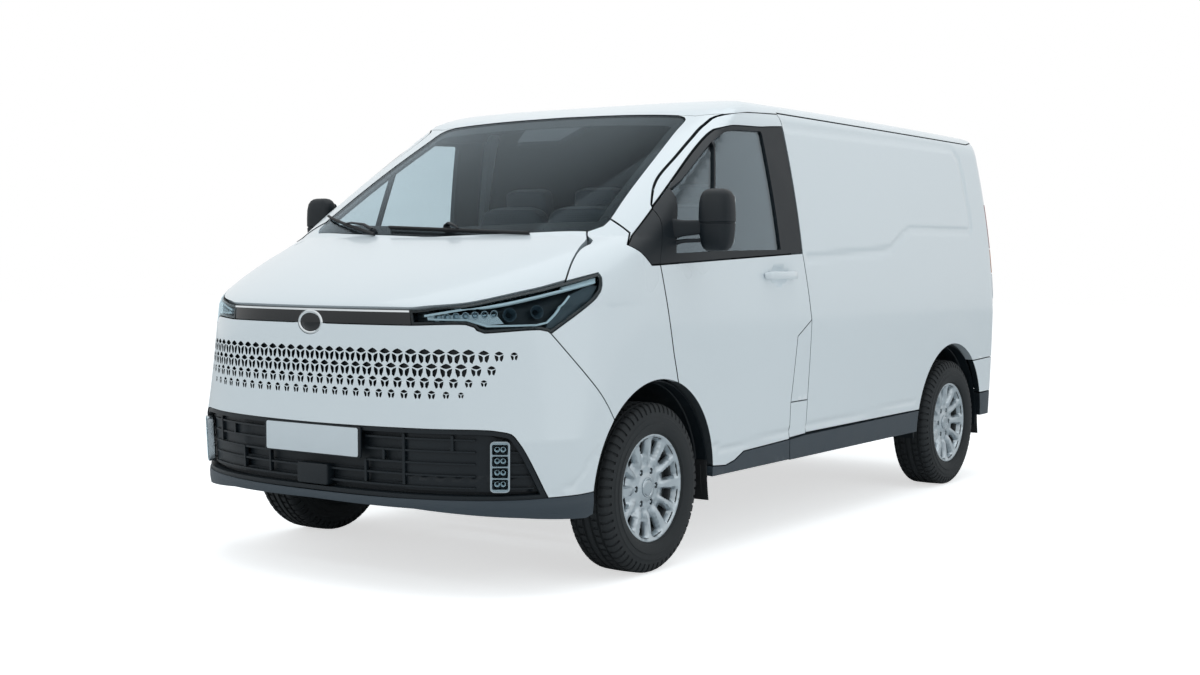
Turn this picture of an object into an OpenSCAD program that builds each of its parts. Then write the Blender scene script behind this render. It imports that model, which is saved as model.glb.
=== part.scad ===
// Panel van: a cab with two hinged doors, a load space with a sliding side
// door and twin rear doors, on four wheels with steered front knuckles.
// Millimetres. X points forward, Y to the left, Z up. The origin is on the
// ground, under the middle of the overall length and width.

/* [Body] */
// Overall length, nose to rear bumper
body_l = 4660; // [4300:10:5600]
// Width over the sides at the waist, without mirrors
body_w = 2000; // [1660:10:2400]
// Height of the roof at its highest
body_h = 1990; // [1880:10:2400]
// Thickness of the doors and of the body walls
wall_t = 56; // [46:1:68]
// Gap round every door and the bonnet
panel_gap = 7; // [6:0.5:9]
// Thickness of the window glass
glass_t = 8; // [5:1:12]
// Height of the lower edge of the sills
sill_z = 328; // [300:1:360]
// Height where the sides are widest
waist_z = 950; // [850:10:1050]
// How far the sides lean in between waist and roof
tumble = 135; // [80:5:160]
// How far the sides tuck in between waist and ground
tuck = 41; // [20:1:60]
// Radius between the sides and the roof
shoulder_r = 110; // [80:5:140]
// Radius of the rear corners seen from above
rear_corner_r = 140; // [100:5:180]
// How far the rear bumper stands behind the rear doors
bumper_out = 66; // [50:1:100]

/* [Nose and windscreen] */
// Height of the front edge of the bonnet
edge_z = 1081; // [1040:1:1120]
// Height of the rear edge of the bonnet at the middle
cowl_z = 1352; // [1320:1:1390]
// Distance from the nose back to the rear edge of the bonnet
cowl_back = 706; // [640:2:780]
// Distance from the nose back to the top of the windscreen
head_back = 1665; // [1560:5:1760]
// How far the top of the windscreen lies under the roof
head_drop = 75; // [55:1:95]
// Distance from the nose back to the highest point of the roof
peak_back = 2090; // [2000:10:2300]
// Height of the top of the lower grille
grille_z = 632; // [600:1:660]
// Half width of the light bar between the headlamps
bar_half = 485; // [440:5:520]
// Height of the light bar's lower edge
bar_z = 1018; // [1000:1:1030]

/* [Wheels and axles] */
// Distance between the axles
wheelbase = 3000; // [2600:10:3300]
// Distance from the nose back to the front axle
front_overhang = 950; // [900:5:1000]
// Distance between the left and right tyre centres
track = 1735; // [1440:5:2080]
// Outer diameter of the tyres
tyre_d = 686; // [570:2:760]
// Width of the tyres
tyre_w = 215; // [180:5:235]
// Diameter of the rim where the tyre sits
rim_d = 406; // [380:2:440]
// Room between the tyre and the edge of the wheel arch
arch_gap = 93; // [85:1:110]
// Radius of the spindles that carry the wheels
spindle_r = 30; // [24:1:36]
// Clearance between a pin or spindle and its bore
pin_play = 1; // [0.6:0.1:2]
// Circle of the wheel bolts, diameter
bolt_circle = 139.7; // [120:0.1:160]
// Diameter of the wheel bolt holes
bolt_d = 15; // [12:0.5:18]

/* [Load space] */
// Height of the load floor
floor_z = 560; // [520:5:600]
// Thickness of the floor panel
floor_t = 40; // [30:1:60]
// Distance from the nose back to the bulkhead
bulkhead_back = 2200; // [2150:10:2300]
// Diameter of the floor holes for lashing eyes
lash_d = 11; // [9:0.5:14]
// Distance between the lashing holes along the van
lash_dx = 1500; // [1200:50:1800]
// Distance between the lashing holes across the van
lash_dy = 960; // [800:10:1100]
// Diameter of the tow bar holes in the rear cross member
tow_hole_d = 13; // [11:0.5:17]

/* [Colours] */
// Body paint
paint = "#e9eef2";
// Grained plastic trim
trim = "#3f4c55";
// Black parts
dark = "#1f2b33";
// Window glass
glass = "#5c6d78";
// Bare metal
metal = "#b9c0c5";

/* [Hidden] */

eps = 0.01;
far = 4000;
nose_x = body_l / 2;
tail_x = -body_l / 2;
rear_x = tail_x + bumper_out;
edge_x = nose_x - 2;
cowl_x = nose_x - cowl_back;
head_x = nose_x - head_back;
peak_x = nose_x - peak_back;
head_z = body_h - head_drop;
bulkhead_x = nose_x - bulkhead_back;
front_axle_x = nose_x - front_overhang;
rear_axle_x = front_axle_x - wheelbase;
wheel_r = tyre_d / 2;
wheel_y = track / 2;
king_y = wheel_y - 12;
arch_r = wheel_r + arch_gap;
floor_front_x = front_axle_x - arch_r - 12;
subframe_back_x = floor_front_x + 28;
rear_arch_x = rear_axle_x + 30;
roof_line = body_h - 64;
lash_x = bulkhead_x - 1130;
bulge_z = 850;
nose_bulge = 24;
screen_bulge = 24;
rear_lean = 48;
roof_fall = 32;
crown = 26;

function lerp(a, b, t) = a + (b - a) * t;
function part_of(z, z0, z1) = max(0, min(1, (z - z0) / (z1 - z0)));

// ---- The skin --------------------------------------------------------

// Half width of the body at height z
function half_w(z) = body_w / 2
    - tuck * max(0, waist_z - z) / waist_z
    - tumble * pow(max(0, z - waist_z) / (body_h - waist_z), 1.8);

// Furthest forward point of the skin at height z: nose, bonnet, windscreen
// and the front of the roof in turn
function front_x(z) =
    z <= edge_z ? edge_x + 2 - nose_bulge * pow((z - bulge_z) / bulge_z, 2)
    : z <= cowl_z ? lerp(edge_x, cowl_x, pow(part_of(z, edge_z, cowl_z), 1.25))
    : z <= head_z ? screen_x(part_of(z, cowl_z, head_z))
    : peak_x + (head_x - peak_x) * sqrt(part_of(z, body_h, head_z));
function screen_x(s) = lerp(cowl_x, head_x, s) + screen_bulge * 4 * s * (1 - s);

// How far the plan curve of the nose sweeps back to the side at height z
function sweep_x(z) =
    z <= edge_z ? lerp(540, 900, part_of(z, 600, edge_z))
    : z <= cowl_z ? lerp(900, 300, part_of(z, edge_z, cowl_z))
    : lerp(300, 120, part_of(z, cowl_z, head_z));

// Power of that curve: higher is flatter in front, tighter at the corner
function sweep_n(z) = lerp(2.6, 3, part_of(z, 600, edge_z))
    + 0.5 * part_of(z, edge_z, cowl_z) + 0.5 * part_of(z, cowl_z, head_z);

// Rear face at height z, leaning forward above the waist
function back_x(z) = rear_x
    + rear_lean * max(0, z - waist_z) / (body_h - waist_z);

// The same three, a distance o inside the skin
function in_front_x(z, o) = min(front_x(z) - o,
    front_x(min(body_h, z + 0.8 * o)) - 0.55 * o);

// Half of the plan outline at height z, a distance o inside the skin
function half_plan(z, o) = let (
        w = half_w(z) - o,
        xf = in_front_x(z, o),
        a = sweep_x(z),
        n = sweep_n(z),
        xr = back_x(z) + o,
        r = max(20, rear_corner_r - o)
    ) concat(
        [for (i = [0:9]) let (t = sin(i * 10)) [xf - a + a * sqrt(max(0, 1 - pow(t, n))), w * t]],
        [for (i = [0:4]) [xr + r - r * sin(i * 22.5), w - r + r * cos(i * 22.5)]]
    );
function mirrored(p) = [for (i = [len(p) - 1:-1:1]) [p[i][0], -p[i][1]]];

// Heights of the rings that carry the skin
levels = concat(
    [for (z = [150, 330, 480, 630, 780, 930]) z],
    [for (i = [0:6]) lerp(edge_z, cowl_z, i / 6)],
    [for (i = [1:7]) lerp(cowl_z, head_z, i / 7)],
    [for (i = [1:4]) lerp(head_z, body_h, 1 - pow(1 - i / 4, 2))]
);

function full_plan(z, o) = let (p = half_plan(z, o)) concat(p, mirrored(p));

// The part of the loft between two heights
module band(z0, z1, o) {
    low = full_plan(z0, o);
    high = full_plan(z1, o);
    n = len(low);
    hull() polyhedron(
        points = concat([for (p = low) [p[0], p[1], z0]], [for (p = high) [p[0], p[1], z1]]),
        faces = concat(
            [[for (i = [0:n - 1]) i], [for (i = [n - 1:-1:0]) n + i]],
            [for (i = [0:n - 1]) let (j = (i + 1) % n) [i, n + i, n + j, j]]
        )
    );
}

// Bands joined one to the next, up to the roof
module plan_loft(o) {
    top = body_h - o;
    zs = concat([for (z = levels) if (z < top - 2) z], [top]);
    for (i = [0:len(zs) - 2]) band(zs[i], zs[i + 1], o);
}

// Cross-section with leaning sides, round shoulders and a crowned roof
module section(o) {
    zs = [for (i = [0:12]) lerp(100, body_h - 26, i / 12)];
    right = [for (z = zs) [half_w(z), z]];
    crest = [for (i = [1:7]) let (y = half_w(body_h) * (1 - i / 4))
        [y, body_h - crown * pow(y / half_w(body_h), 2)]];
    left = [for (i = [12:-1:0]) [-half_w(zs[i]), zs[i]]];
    offset(delta = -o)
        offset(r = shoulder_r, $fn = 32)
            offset(delta = -shoulder_r)
                polygon(concat(right, crest, left));
}

module section_at(x, drop, o) {
    translate([x, 0, -drop]) rotate([90, 0, 90]) linear_extrude(eps) section(o);
}

module section_loft(o) {
    hull() {
        section_at(tail_x, roof_fall, o);
        section_at((tail_x + peak_x) / 2, roof_fall / 4, o);
        section_at(peak_x, 0, o);
        section_at(nose_x, 0, o);
    }
}

// The whole body as a solid, a distance o inside the skin
module body_solid(o = 0) {
    intersection() {
        plan_loft(o);
        section_loft(o);
    }
}

// The skin with a thickness t, a distance o under the outer face
module shell(t = wall_t, o = 0) {
    difference() {
        body_solid(o);
        body_solid(o + t);
    }
}

// ---- Outlines --------------------------------------------------------

// Extrude an outline drawn in X and Z across the left half, or both
module across(y0 = 0, y1 = far) {
    translate([0, y1, 0]) rotate([90, 0, 0]) linear_extrude(y1 - y0) children();
}

// Extrude an outline drawn in Y and Z along X from x0 to x1
module along(x0, x1) {
    translate([x0, 0, 0]) rotate([90, 0, 90]) linear_extrude(x1 - x0) children();
}

module both_sides() {
    children();
    mirror([0, 1, 0]) children();
}

// Height of the line over the headlamps, and of the line over the lip
function lamp_line(x) = edge_z + max(0, nose_x - 55 - x) * 0.245;
function lip_line(x) = 368 + (nose_x - x) * 0.03;
function lip_low_line(x) = 337 - (nose_x - x) * 0.095;

// Front door outline: shoulder, windscreen pillar, wheel arch, sill, latch
door_rear_x = nose_x - 2180;
module door_2d() {
    x = nose_x;
    offset(r = 18, $fn = 24) offset(delta = -18) difference() {
        polygon([
            [door_rear_x + 42, roof_line - 10], [door_rear_x, 1277],
            [door_rear_x - 64, 972], [door_rear_x + 69, 901],
            [door_rear_x + 116, 602], [door_rear_x + 116, sill_z],
            [x - 1361, sill_z - 1], [x - 1082, 777], [x - 1053, 869],
            [x - 969, 1233], [x - 1010, 1387], [x - 1038, 1481],
            [x - 1107, 1542], [x - 1192, 1604], [x - 1337, head_z - 221],
            [x - 1469, head_z - 141], [x - 1588, head_z - 72],
            [x - 1690, head_z - 25], [x - 1851, roof_line - 19]
        ]);
        arch_2d(front_axle_x);
    }
}

// Side window in the front door
module window_2d() {
    x = nose_x;
    offset(r = 22, $fn = 24) offset(delta = -22) polygon([
        [door_rear_x + 205, 1290], [x - 1075, 1262], [x - 1068, 1440],
        [x - 1228, 1590], [x - 1395, head_z - 217], [x - 1542, head_z - 129],
        [x - 1603, head_z - 103], [door_rear_x + 195, head_z - 83]
    ]);
}

module arch_2d(x, grow = 0) {
    translate([x, wheel_r]) circle(r = arch_r + grow, $fn = 96);
    translate([x - arch_r - grow, -far]) square([2 * (arch_r + grow), far + wheel_r]);
}

module lamp_2d() {
    x = nose_x;
    top = -panel_gap;
    polygon([
        [x + 50, lamp_line(x) + top], [x - 56, lamp_line(x) + top],
        [x - 618, lamp_line(x - 618) + top], [x - 626, 1190], [x - 572, 1115],
        [x - 371, 985], [x - 336, 1000], [x - 177, 989], [x - 141, bar_z],
        [x + 50, bar_z]
    ]);
}

// Bonnet seen from above
module bonnet_plan_2d() {
    x = nose_x;
    s = body_w / 2 - 130;
    half = [
        [x + 100, s], [x - 482, s], [x - 589, s - 44], [x - 743, s - 98],
        [x - 799, s - 128], [cowl_x - 20, s - 417], [cowl_x + 12, 0]
    ];
    polygon(concat(half, [for (i = [5:-1:0]) [half[i][0], -half[i][1]]]));
}

module above_lamps_2d() {
    polygon([
        [nose_x + 200, edge_z], [nose_x - 55, edge_z],
        [nose_x - 1055, lamp_line(nose_x - 1055)], [nose_x - 1055, 1700],
        [nose_x + 200, 1700]
    ]);
}

// The space the bonnet takes, grown by a gap
module bonnet_zone(grow = 0) {
    intersection() {
        translate([0, 0, 900]) linear_extrude(700) offset(delta = grow) bonnet_plan_2d();
        across(-far, far) offset(delta = grow) above_lamps_2d();
    }
}

// Windscreen seen from the front
module screen_2d() {
    b = body_w * 0.394;
    t = body_w * 0.35;
    half = [
        [0, cowl_z + 4], [b / 2, cowl_z + 14], [b, cowl_z + 44],
        [b - 19, cowl_z + 166], [b - 49, head_z - 233], [t + 12, head_z - 111],
        [t, head_z - 30], [t / 2, head_z - 12], [0, head_z - 4]
    ];
    offset(r = 30, $fn = 24) offset(delta = -30)
        polygon(concat(half, [for (i = [7:-1:1]) [-half[i][0], half[i][1]]]));
}

module roof_2d() {
    polygon([
        [head_x + 20, body_h + 50], [head_x + 20, roof_line],
        [peak_x, roof_line], [tail_x, roof_line - roof_fall], [tail_x, body_h + 50]
    ]);
}

// Lower grille seen from the front
grille_half = body_w / 2 - 200;
module grille_2d() {
    half = [
        [grille_half - 40, grille_z], [grille_half + 12, grille_z - 18],
        [grille_half + 45, grille_z - 52], [grille_half + 106, 372],
        [grille_half + 106, 200]
    ];
    polygon(concat(half, [for (i = [4:-1:0]) [-half[i][0], half[i][1]]]));
}

// Sliding door on the right, behind the front door
slide_front_x = door_rear_x - 74;
slide_rear_x = slide_front_x - 1090;
module slide_2d() {
    offset(r = 30, $fn = 24) offset(delta = -30) polygon([
        [slide_front_x + 60, roof_line - 34], [slide_front_x + 40, 1277],
        [slide_front_x, 972], [slide_front_x, sill_z + 125],
        [slide_rear_x, sill_z + 125], [slide_rear_x, roof_line - 44]
    ]);
}

// Rear door on the left, seen from behind
rear_door_half = body_w / 2 - 160;
rear_door_low = 690;
module rear_door_2d(grow = 0) {
    top = roof_line - 64;
    polygon([
        [panel_gap / 2 - grow, rear_door_low - grow], [rear_door_half + grow, rear_door_low - grow],
        [rear_door_half - 44 + grow, top + grow], [panel_gap / 2 - grow, top + grow]
    ]);
}

lamp_low = 1010;
lamp_high = 1560;
module tail_lamp_2d() {
    polygon([
        [rear_x - 20, lamp_low], [rear_x + 96, lamp_low + 30],
        [rear_x + 96 + rear_lean / 2, lamp_high - 30], [rear_x - 20, lamp_high]
    ]);
}

module arches(x, y0 = 0) {
    both_sides() across(y0, far) arch_2d(x);
}

// ---- Body ------------------------------------------------------------

side_t = wall_t + 10;
corner_room = 14;
frame_back_x = head_x - 400;

module floor_pan() {
    under = floor_z - floor_t;
    w = half_w(under) - side_t - 2;
    front = floor_front_x;
    back = rear_x + side_t + 4;
    well = king_y - 262;
    cut = rear_corner_r - side_t - corner_room;
    color(metal) difference() {
        union() {
            translate([0, 0, under]) linear_extrude(floor_t) polygon([
                [back, -w + cut], [back + cut, -w], [front, -w], [front, w],
                [back + cut, w], [back, w - cut]
            ]);
            for (s = [-1, 1]) translate([back, s * 430 - 35, under - 90])
                cube([front - back, 70, 90]);
            translate([back, -430, under - 80]) cube([60, 860, 80]);
        }
        for (s = [-1, 1]) translate([rear_arch_x - arch_r + 1, s > 0 ? well : -far, 0])
            cube([2 * arch_r - 2, far - well, floor_z + 10]);
        for (y = [-260, 260], z = [-20, 20]) translate([back - 5, y, under - 40 + z])
            rotate([0, 90, 0]) cylinder(d = tow_hole_d, h = 70, $fn = 32);
        for (x = [-1, 1], y = [-1, 1])
            translate([lash_x + x * lash_dx / 2, y * lash_dy / 2, under - 1])
                cylinder(d = lash_d, h = floor_t + 2, $fn = 32);
    }
}

// Everything of the side behind the front door; the roof is apart
module side_region() {
    difference() {
        shell(side_t);
        translate([-far, -2 * far, -far]) cube([2 * far, 2 * far, 2 * far]);
        translate([frame_back_x, -far, -far]) cube([far, 2 * far, 2 * far]);
        across(500) offset(delta = panel_gap) door_2d();
        across(-1) roof_2d();
        arches(rear_arch_x);
        translate([-far, -1, -far]) cube([far + rear_arch_x + 20, far, far + 680]);
        across() translate([-far, -far]) square([2 * far, far + sill_z + 118]);
        along(-far, rear_x + 130) rear_door_2d(panel_gap);
        along(-far, rear_x + 130) translate([-1, 0]) square([20, roof_line - 64]);
        across(rear_door_half + 12) offset(delta = 0.5) tail_lamp_2d();
    }
}

module left_side() {
    color(paint) side_region();
}

module right_side() {
    color(paint) mirror([0, 1, 0]) difference() {
        side_region();
        across(500) offset(delta = 1) slide_2d();
    }
}

module sliding_door() {
    color(paint) mirror([0, 1, 0]) intersection() {
        shell(side_t);
        across(500) slide_2d();
    }
}

module roof() {
    color(paint) intersection() {
        shell(wall_t);
        across(-far, far) roof_2d();
    }
}

module windscreen_frame() {
    color(paint) difference() {
        intersection() {
            shell(wall_t);
            translate([head_x - 560, -far, 1330]) cube([1700, 2 * far, far]);
        }
        across(-far, far) roof_2d();
        both_sides() across(500) offset(delta = panel_gap) door_2d();
        both_sides() across(420) offset(delta = 0.5) wing_2d();
        bonnet_zone(panel_gap);
        along(0, far) screen_2d();
        translate([-far, -far, -far]) cube([far + frame_back_x, 2 * far, 2 * far]);
    }
}

module windscreen() {
    color(glass, 0.6) intersection() {
        shell(glass_t, 3);
        along(head_x - 100, far) offset(delta = -0.5) screen_2d();
    }
}

module bulkhead() {
    color("#8d979e") intersection() {
        body_solid(side_t + 1);
        translate([bulkhead_x - 30, -far, floor_z]) cube([30, 2 * far, far]);
    }
}

// Front wing outline
module wing_2d() {
    x = nose_x;
    polygon([
        [x - 628, 653], [x - 371, 985], [x - 572, 1115], [x - 626, 1190],
        [x - 618, lamp_line(x - 618)], [x - 460, lamp_line(x - 460)],
        [x - 460, 1300], [x - 720, 1420], [x - 893, 1422], [x - 873, 1364],
        [x - 816, 1318], [x - 907, 1237], [x - 969, 1233], [x - 1053, 869],
        [x - 1082, 777], [x - 1082, 600]
    ]);
}

module wings() {
    color(paint) both_sides() difference() {
        intersection() {
            shell(wall_t);
            across(420) wing_2d();
        }
        across(500) offset(delta = panel_gap) door_2d();
        bonnet_zone(panel_gap);
        across(420) arch_2d(front_axle_x);
        across(420) offset(delta = 0.5) lamp_2d();
        along(0, far) screen_2d();
    }
}

module fascia_2d() {
    x = nose_x;
    polygon([
        [x - 628, 653], [x - 371, 985], [x - 371, bar_z], [x + 300, bar_z],
        [x + 300, lip_line(x + 300)], [x - 628, lip_line(x - 628)]
    ]);
}

module fascia() {
    color(paint) difference() {
        intersection() {
            shell(wall_t);
            across(-far, far) fascia_2d();
        }
        along(0, far) offset(delta = 0.5) grille_2d();
        bezel(0.5);
        both_sides() across(bar_half) offset(delta = 0.5) lamp_2d();
        both_sides() across(king_y - 200) arch_2d(front_axle_x);
    }
}

module lower_grille() {
    color(dark) difference() {
        intersection() {
            shell(40, 16);
            along(0, far) grille_2d();
            across(-far, far) translate([nose_x - 700, lip_line(nose_x - 700)]) square([1000, 400]);
        }
        both_sides() along(0, far) offset(delta = 1) fog_2d();
        for (i = [0:2]) translate([nose_x - 400, -420, 402 + i * 62]) cube([500, 840, 34]);
    }
}

module fog_2d() {
    offset(r = 20, $fn = 24) offset(delta = -20)
        translate([grille_half - 84, 399]) square([68, 201]);
}

module fog_lamps() {
    color("#dfe6ea") both_sides() intersection() {
        shell(50, 8);
        along(0, far) fog_2d();
    }
}

module front_lip() {
    x = nose_x;
    color(trim) difference() {
        intersection() {
            shell(120);
            across(-far, far) polygon([
                [x + 20, lip_line(x + 20) - 0.5], [x - 700, lip_line(x - 700) - 0.5],
                [x - 700, lip_low_line(x - 700)], [x + 20, lip_low_line(x + 20)]
            ]);
        }
        arches(front_axle_x, king_y - 200);
    }
}

module grille_bar() {
    color(dark) {
        intersection() {
            shell(40, 6);
            along(0, far) translate([-bar_half + 1, bar_z + 1]) square([2 * bar_half - 2, edge_z - bar_z - panel_gap - 1]);
        }
        bezel();
    }
}

// Blank oval in the middle of the light bar
module bezel(grow = 0) {
    translate([nose_x - 20, 0, bar_z + 2]) rotate([0, 90, 0]) scale([0.75, 1, 1])
        cylinder(r = 67 + grow, h = 20, $fn = 64);
}

module headlamps() {
    color("#8fa0aa") both_sides() difference() {
        intersection() {
            shell(wall_t + 10, 4);
            across(bar_half + 1) lamp_2d();
        }
        bonnet_zone(panel_gap);
    }
}

module dashboard() {
    w = half_w(1200) - wall_t - 26;
    color(dark) difference() {
        dashboard_block(w);
        steering_place() column(column_r + 0.5);
    }
}

module dashboard_block(w) {
    intersection() {
        body_solid(wall_t + 16);
        across(-w, w) polygon([
            [nose_x - 1250, 820], [nose_x - 1290, 1180], [nose_x - 1210, 1262],
            [nose_x - 1000, 1318], [nose_x - 880, 1318], [nose_x - 880, 820]
        ]);
    }
}

wheel_x = nose_x - 1330;
wheel_seat_y = 430;
column_r = 24;
module column(r) {
    translate([0, 0, -120]) cylinder(r = r, h = 110, $fn = 32);
}
module steering_place() {
    translate([wheel_x, wheel_seat_y, 1230]) rotate([0, -62, 0]) children();
}
module steering_wheel() {
    color(dark) steering_place() {
        rotate_extrude($fn = 64) translate([180, 0]) circle(r = 15, $fn = 24);
        for (a = [0, 120, 240]) rotate([0, 0, a]) translate([30, -18, -8]) cube([142, 36, 14]);
        cylinder(r = 55, h = 26, center = true, $fn = 48);
        column(column_r);
    }
}

seat_x = nose_x - 2050;
module seat(y, w) {
    translate([seat_x, y, 0]) {
        translate([10, -w / 2 + 30, floor_z]) cube([440, w - 60, 250]);
        translate([0, -w / 2, floor_z + 250]) cube([520, w, 130]);
        translate([60, -w / 2, floor_z + 370]) rotate([0, -14, 0]) cube([120, w, 620]);
    }
}
module seats() {
    color("#2b3138") {
        seat(wheel_seat_y, 480);
        seat(-330, 860);
    }
}

module sill_trims() {
    color(trim) both_sides() intersection() {
        shell(side_t);
        across() difference() {
            translate([rear_arch_x, sill_z]) square([door_rear_x + 150 - rear_arch_x, 117]);
            offset(delta = panel_gap) door_2d();
            arch_2d(rear_arch_x);
        }
    }
}

module rear_bumper() {
    half = body_w / 2 - rear_corner_r;
    color(paint) difference() {
        union() {
            intersection() {
                shell(side_t);
                across(-far, far) translate([tail_x - 100, 345]) square([600, 334]);
            }
            translate([0, 0, 410]) linear_extrude(226)
                offset(r = 30, $fn = 32) offset(delta = -30)
                    translate([tail_x, -half]) square([bumper_out + 40, 2 * half]);
        }
        arches(rear_arch_x);
        translate([rear_arch_x, -far, 0]) cube([far, 2 * far, far]);
    }
}

module tail_lamps() {
    color("#a33333") both_sides() intersection() {
        shell(side_t);
        across(rear_door_half + 13) tail_lamp_2d();
    }
}

// ---- Chassis ---------------------------------------------------------

arm_t = 30;
arm_reach = 112;
rail_z = wheel_r - 93;
arm_inner_y = 400;

module front_arm(z) {
    difference() {
        union() {
            hull() {
                translate([front_axle_x, king_y, z]) cylinder(r = 27, h = arm_t, center = true, $fn = 32);
                translate([front_axle_x - 30, arm_inner_y + 120, z - arm_t / 2]) cube([60, 20, arm_t]);
            }
            translate([front_axle_x - 150, arm_inner_y - 40, z - arm_t / 2]) cube([300, 170, arm_t]);
        }
        translate([front_axle_x, king_y, z]) cylinder(r = 12 + pin_play, h = 2 * arm_t, center = true, $fn = 48);
    }
}

module front_subframe() {
    color("#30363b") {
        both_sides() {
            front_arm(wheel_r - arm_reach);
            front_arm(wheel_r + arm_reach);
            translate([subframe_back_x, arm_inner_y - 40, rail_z])
                cube([front_axle_x + 460 - subframe_back_x, 80, 60]);
            translate([front_axle_x - 45, arm_inner_y - 40, wheel_r - arm_reach])
                cube([90, 80, 2 * arm_reach]);
            translate([subframe_back_x, arm_inner_y - 40, rail_z])
                cube([60, 80, floor_z - floor_t - rail_z]);
        }
        for (x = [subframe_back_x, front_axle_x + 380]) translate([x, -arm_inner_y, rail_z])
            cube([80, 2 * arm_inner_y, 60]);
    }
}

module drive_motor() {
    color(metal) translate([front_axle_x - 200, -arm_inner_y + 41, rail_z + 10])
        cube([520, 2 * arm_inner_y - 82, 420]);
}

module battery_pack() {
    front = front_axle_x - 440;
    back = rear_axle_x + wheel_r + 120;
    color("#4a5359") translate([back, -394, floor_z - floor_t - 260])
        cube([front - 60 - back, 788, 260]);
}

module rear_axle() {
    in = wheel_y - tyre_w / 2;
    color("#30363b") translate([rear_axle_x, 0, wheel_r]) {
        rotate([90, 0, 0]) cylinder(r = 42, h = 2 * in - 30, center = true, $fn = 48);
        rotate([90, 0, 0]) cylinder(r = spindle_r, h = 2 * wheel_y + 110, center = true, $fn = 64);
        for (s = [-1, 1]) translate([-560, s * 560 - 35, 44]) cube([1160, 70, 26]);
        for (s = [-1, 1]) translate([-50, s * 560 - 45, -50]) cube([100, 90, 95]);
    }
}

// Curved shell over a wheel, closed on its inner side where inner is true
module liner(x, inner) {
    y0 = king_y - 260;
    translate([x, 0, 0]) {
        across(y0, half_w(wheel_r + arch_r) - 30) intersection() {
            difference() {
                arch_2d(0, -2);
                arch_2d(0, -14);
            }
            translate([-far, wheel_r - 60]) square([2 * far, far]);
        }
        if (inner) across(y0, y0 + 10) intersection() {
            arch_2d(0, -2);
            translate([-far, wheel_r + 80]) square([2 * far, far]);
        }
    }
}

module arch_liners() {
    color(dark) both_sides() {
        liner(front_axle_x, false);
        liner(rear_arch_x, true);
        translate([rear_arch_x - arch_r + 14, wheel_y - 110, wheel_r - 100]) cube([12, 200, 190]);
        translate([front_axle_x - arch_r + 14, wheel_y - 110, wheel_r - 105]) cube([12, 200, 170]);
    }
}

// ---- Doors -----------------------------------------------------------

door_y0 = body_w / 2 - 260;
module door_shell() {
    color(paint) difference() {
        intersection() {
            shell(side_t);
            across(door_y0) door_2d();
        }
        across(door_y0) window_2d();
    }
}

module door_glass() {
    color(glass, 0.6) intersection() {
        shell(glass_t, 18);
        across(500) offset(delta = -0.5) window_2d();
    }
}

mirror_x = nose_x - 1190;
mirror_y = body_w / 2 + 110;
mirror_z = 1417;
module mirror_unit() {
    foot_y = half_w(mirror_z) + 12;
    color(dark) difference() {
        mirror_body(foot_y);
        body_solid(-0.5);
    }
}
module mirror_body(foot_y) {
    union() {
        for (z = [-40, 34]) hull() {
            translate([mirror_x + 20, mirror_y - 60, mirror_z + z]) cube([30, 20, 22]);
            translate([mirror_x + 78, foot_y - 16, mirror_z + z - 20]) cube([44, 12, 26]);
        }
        translate([mirror_x, mirror_y, mirror_z]) minkowski() {
            cube([50, 110, 210], center = true);
            sphere(r = 22, $fn = 24);
        }
        translate([mirror_x + 70, foot_y - 110, mirror_z - 80]) cube([60, 110, 120]);
    }
}

module left_front_door() { door_shell(); }
module left_door_glass() { door_glass(); }
module left_mirror() { mirror_unit(); }
module right_front_door() { mirror([0, 1, 0]) door_shell(); }
module right_door_glass() { mirror([0, 1, 0]) door_glass(); }
module right_mirror() { mirror([0, 1, 0]) mirror_unit(); }

module rear_door() {
    color(paint) intersection() {
        shell(side_t);
        along(-far, rear_x + 130) rear_door_2d();
    }
}
module left_rear_door() { rear_door(); }
module right_rear_door() { mirror([0, 1, 0]) rear_door(); }

module bonnet() {
    color(paint) intersection() {
        shell(34);
        bonnet_zone();
    }
}

// ---- Wheels ----------------------------------------------------------

module knuckle() {
    color("#30363b") translate([front_axle_x, king_y, wheel_r]) {
        translate([-40, -35, -arm_reach + arm_t / 2 + 5]) cube([80, 60, 2 * arm_reach - arm_t - 10]);
        translate([0, 0, -arm_reach - 22]) cylinder(r = 12, h = 2 * arm_reach + 44, $fn = 48);
        translate([0, 20, 0]) rotate([-90, 0, 0]) cylinder(r = spindle_r, h = 47, $fn = 64);
        translate([-150, -30, -20]) cube([120, 30, 40]);
    }
}

module tyre() {
    w = tyre_w / 2;
    color("#22272b") rotate([90, 0, 0]) rotate_extrude($fn = 128)
        polygon([
            [rim_d / 2 + 3, -w + 23], [rim_d / 2 + 20, -w + 20],
            [wheel_r - 60, -w], [wheel_r - 22, -w + 6],
            [wheel_r, -w + 34], [wheel_r, w - 34], [wheel_r - 22, w - 6],
            [wheel_r - 60, w], [rim_d / 2 + 20, w - 20], [rim_d / 2 + 3, w - 23]
        ]);
}

module wheel() {
    w = tyre_w / 2 - 20;
    r = rim_d / 2;
    bore = spindle_r + pin_play;
    color(metal) rotate([-90, 0, 0]) difference() {
        rotate_extrude($fn = 128) polygon([
            [r - 12, -w], [r + 3, -w], [r + 3, w + 0.5], [r + 17, w + 0.5],
            [r + 17, w + 5], [r - 12, w + 5], [r - 24, w - 4],
            [bore + 72, w - 22], [bore + 60, w - 10], [bore, w - 10],
            [bore, w - 46], [bore + 60, w - 46], [r - 26, w - 30], [r - 12, w - 46]
        ]);
        for (a = [0:60:300]) rotate([0, 0, a]) translate([bolt_circle / 2, 0, -far / 2])
            cylinder(d = bolt_d, h = far, $fn = 32);
    }
}

module at_wheel(x, s) {
    translate([x, s * wheel_y, wheel_r]) mirror([0, s > 0 ? 0 : 1, 0]) children();
}

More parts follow.
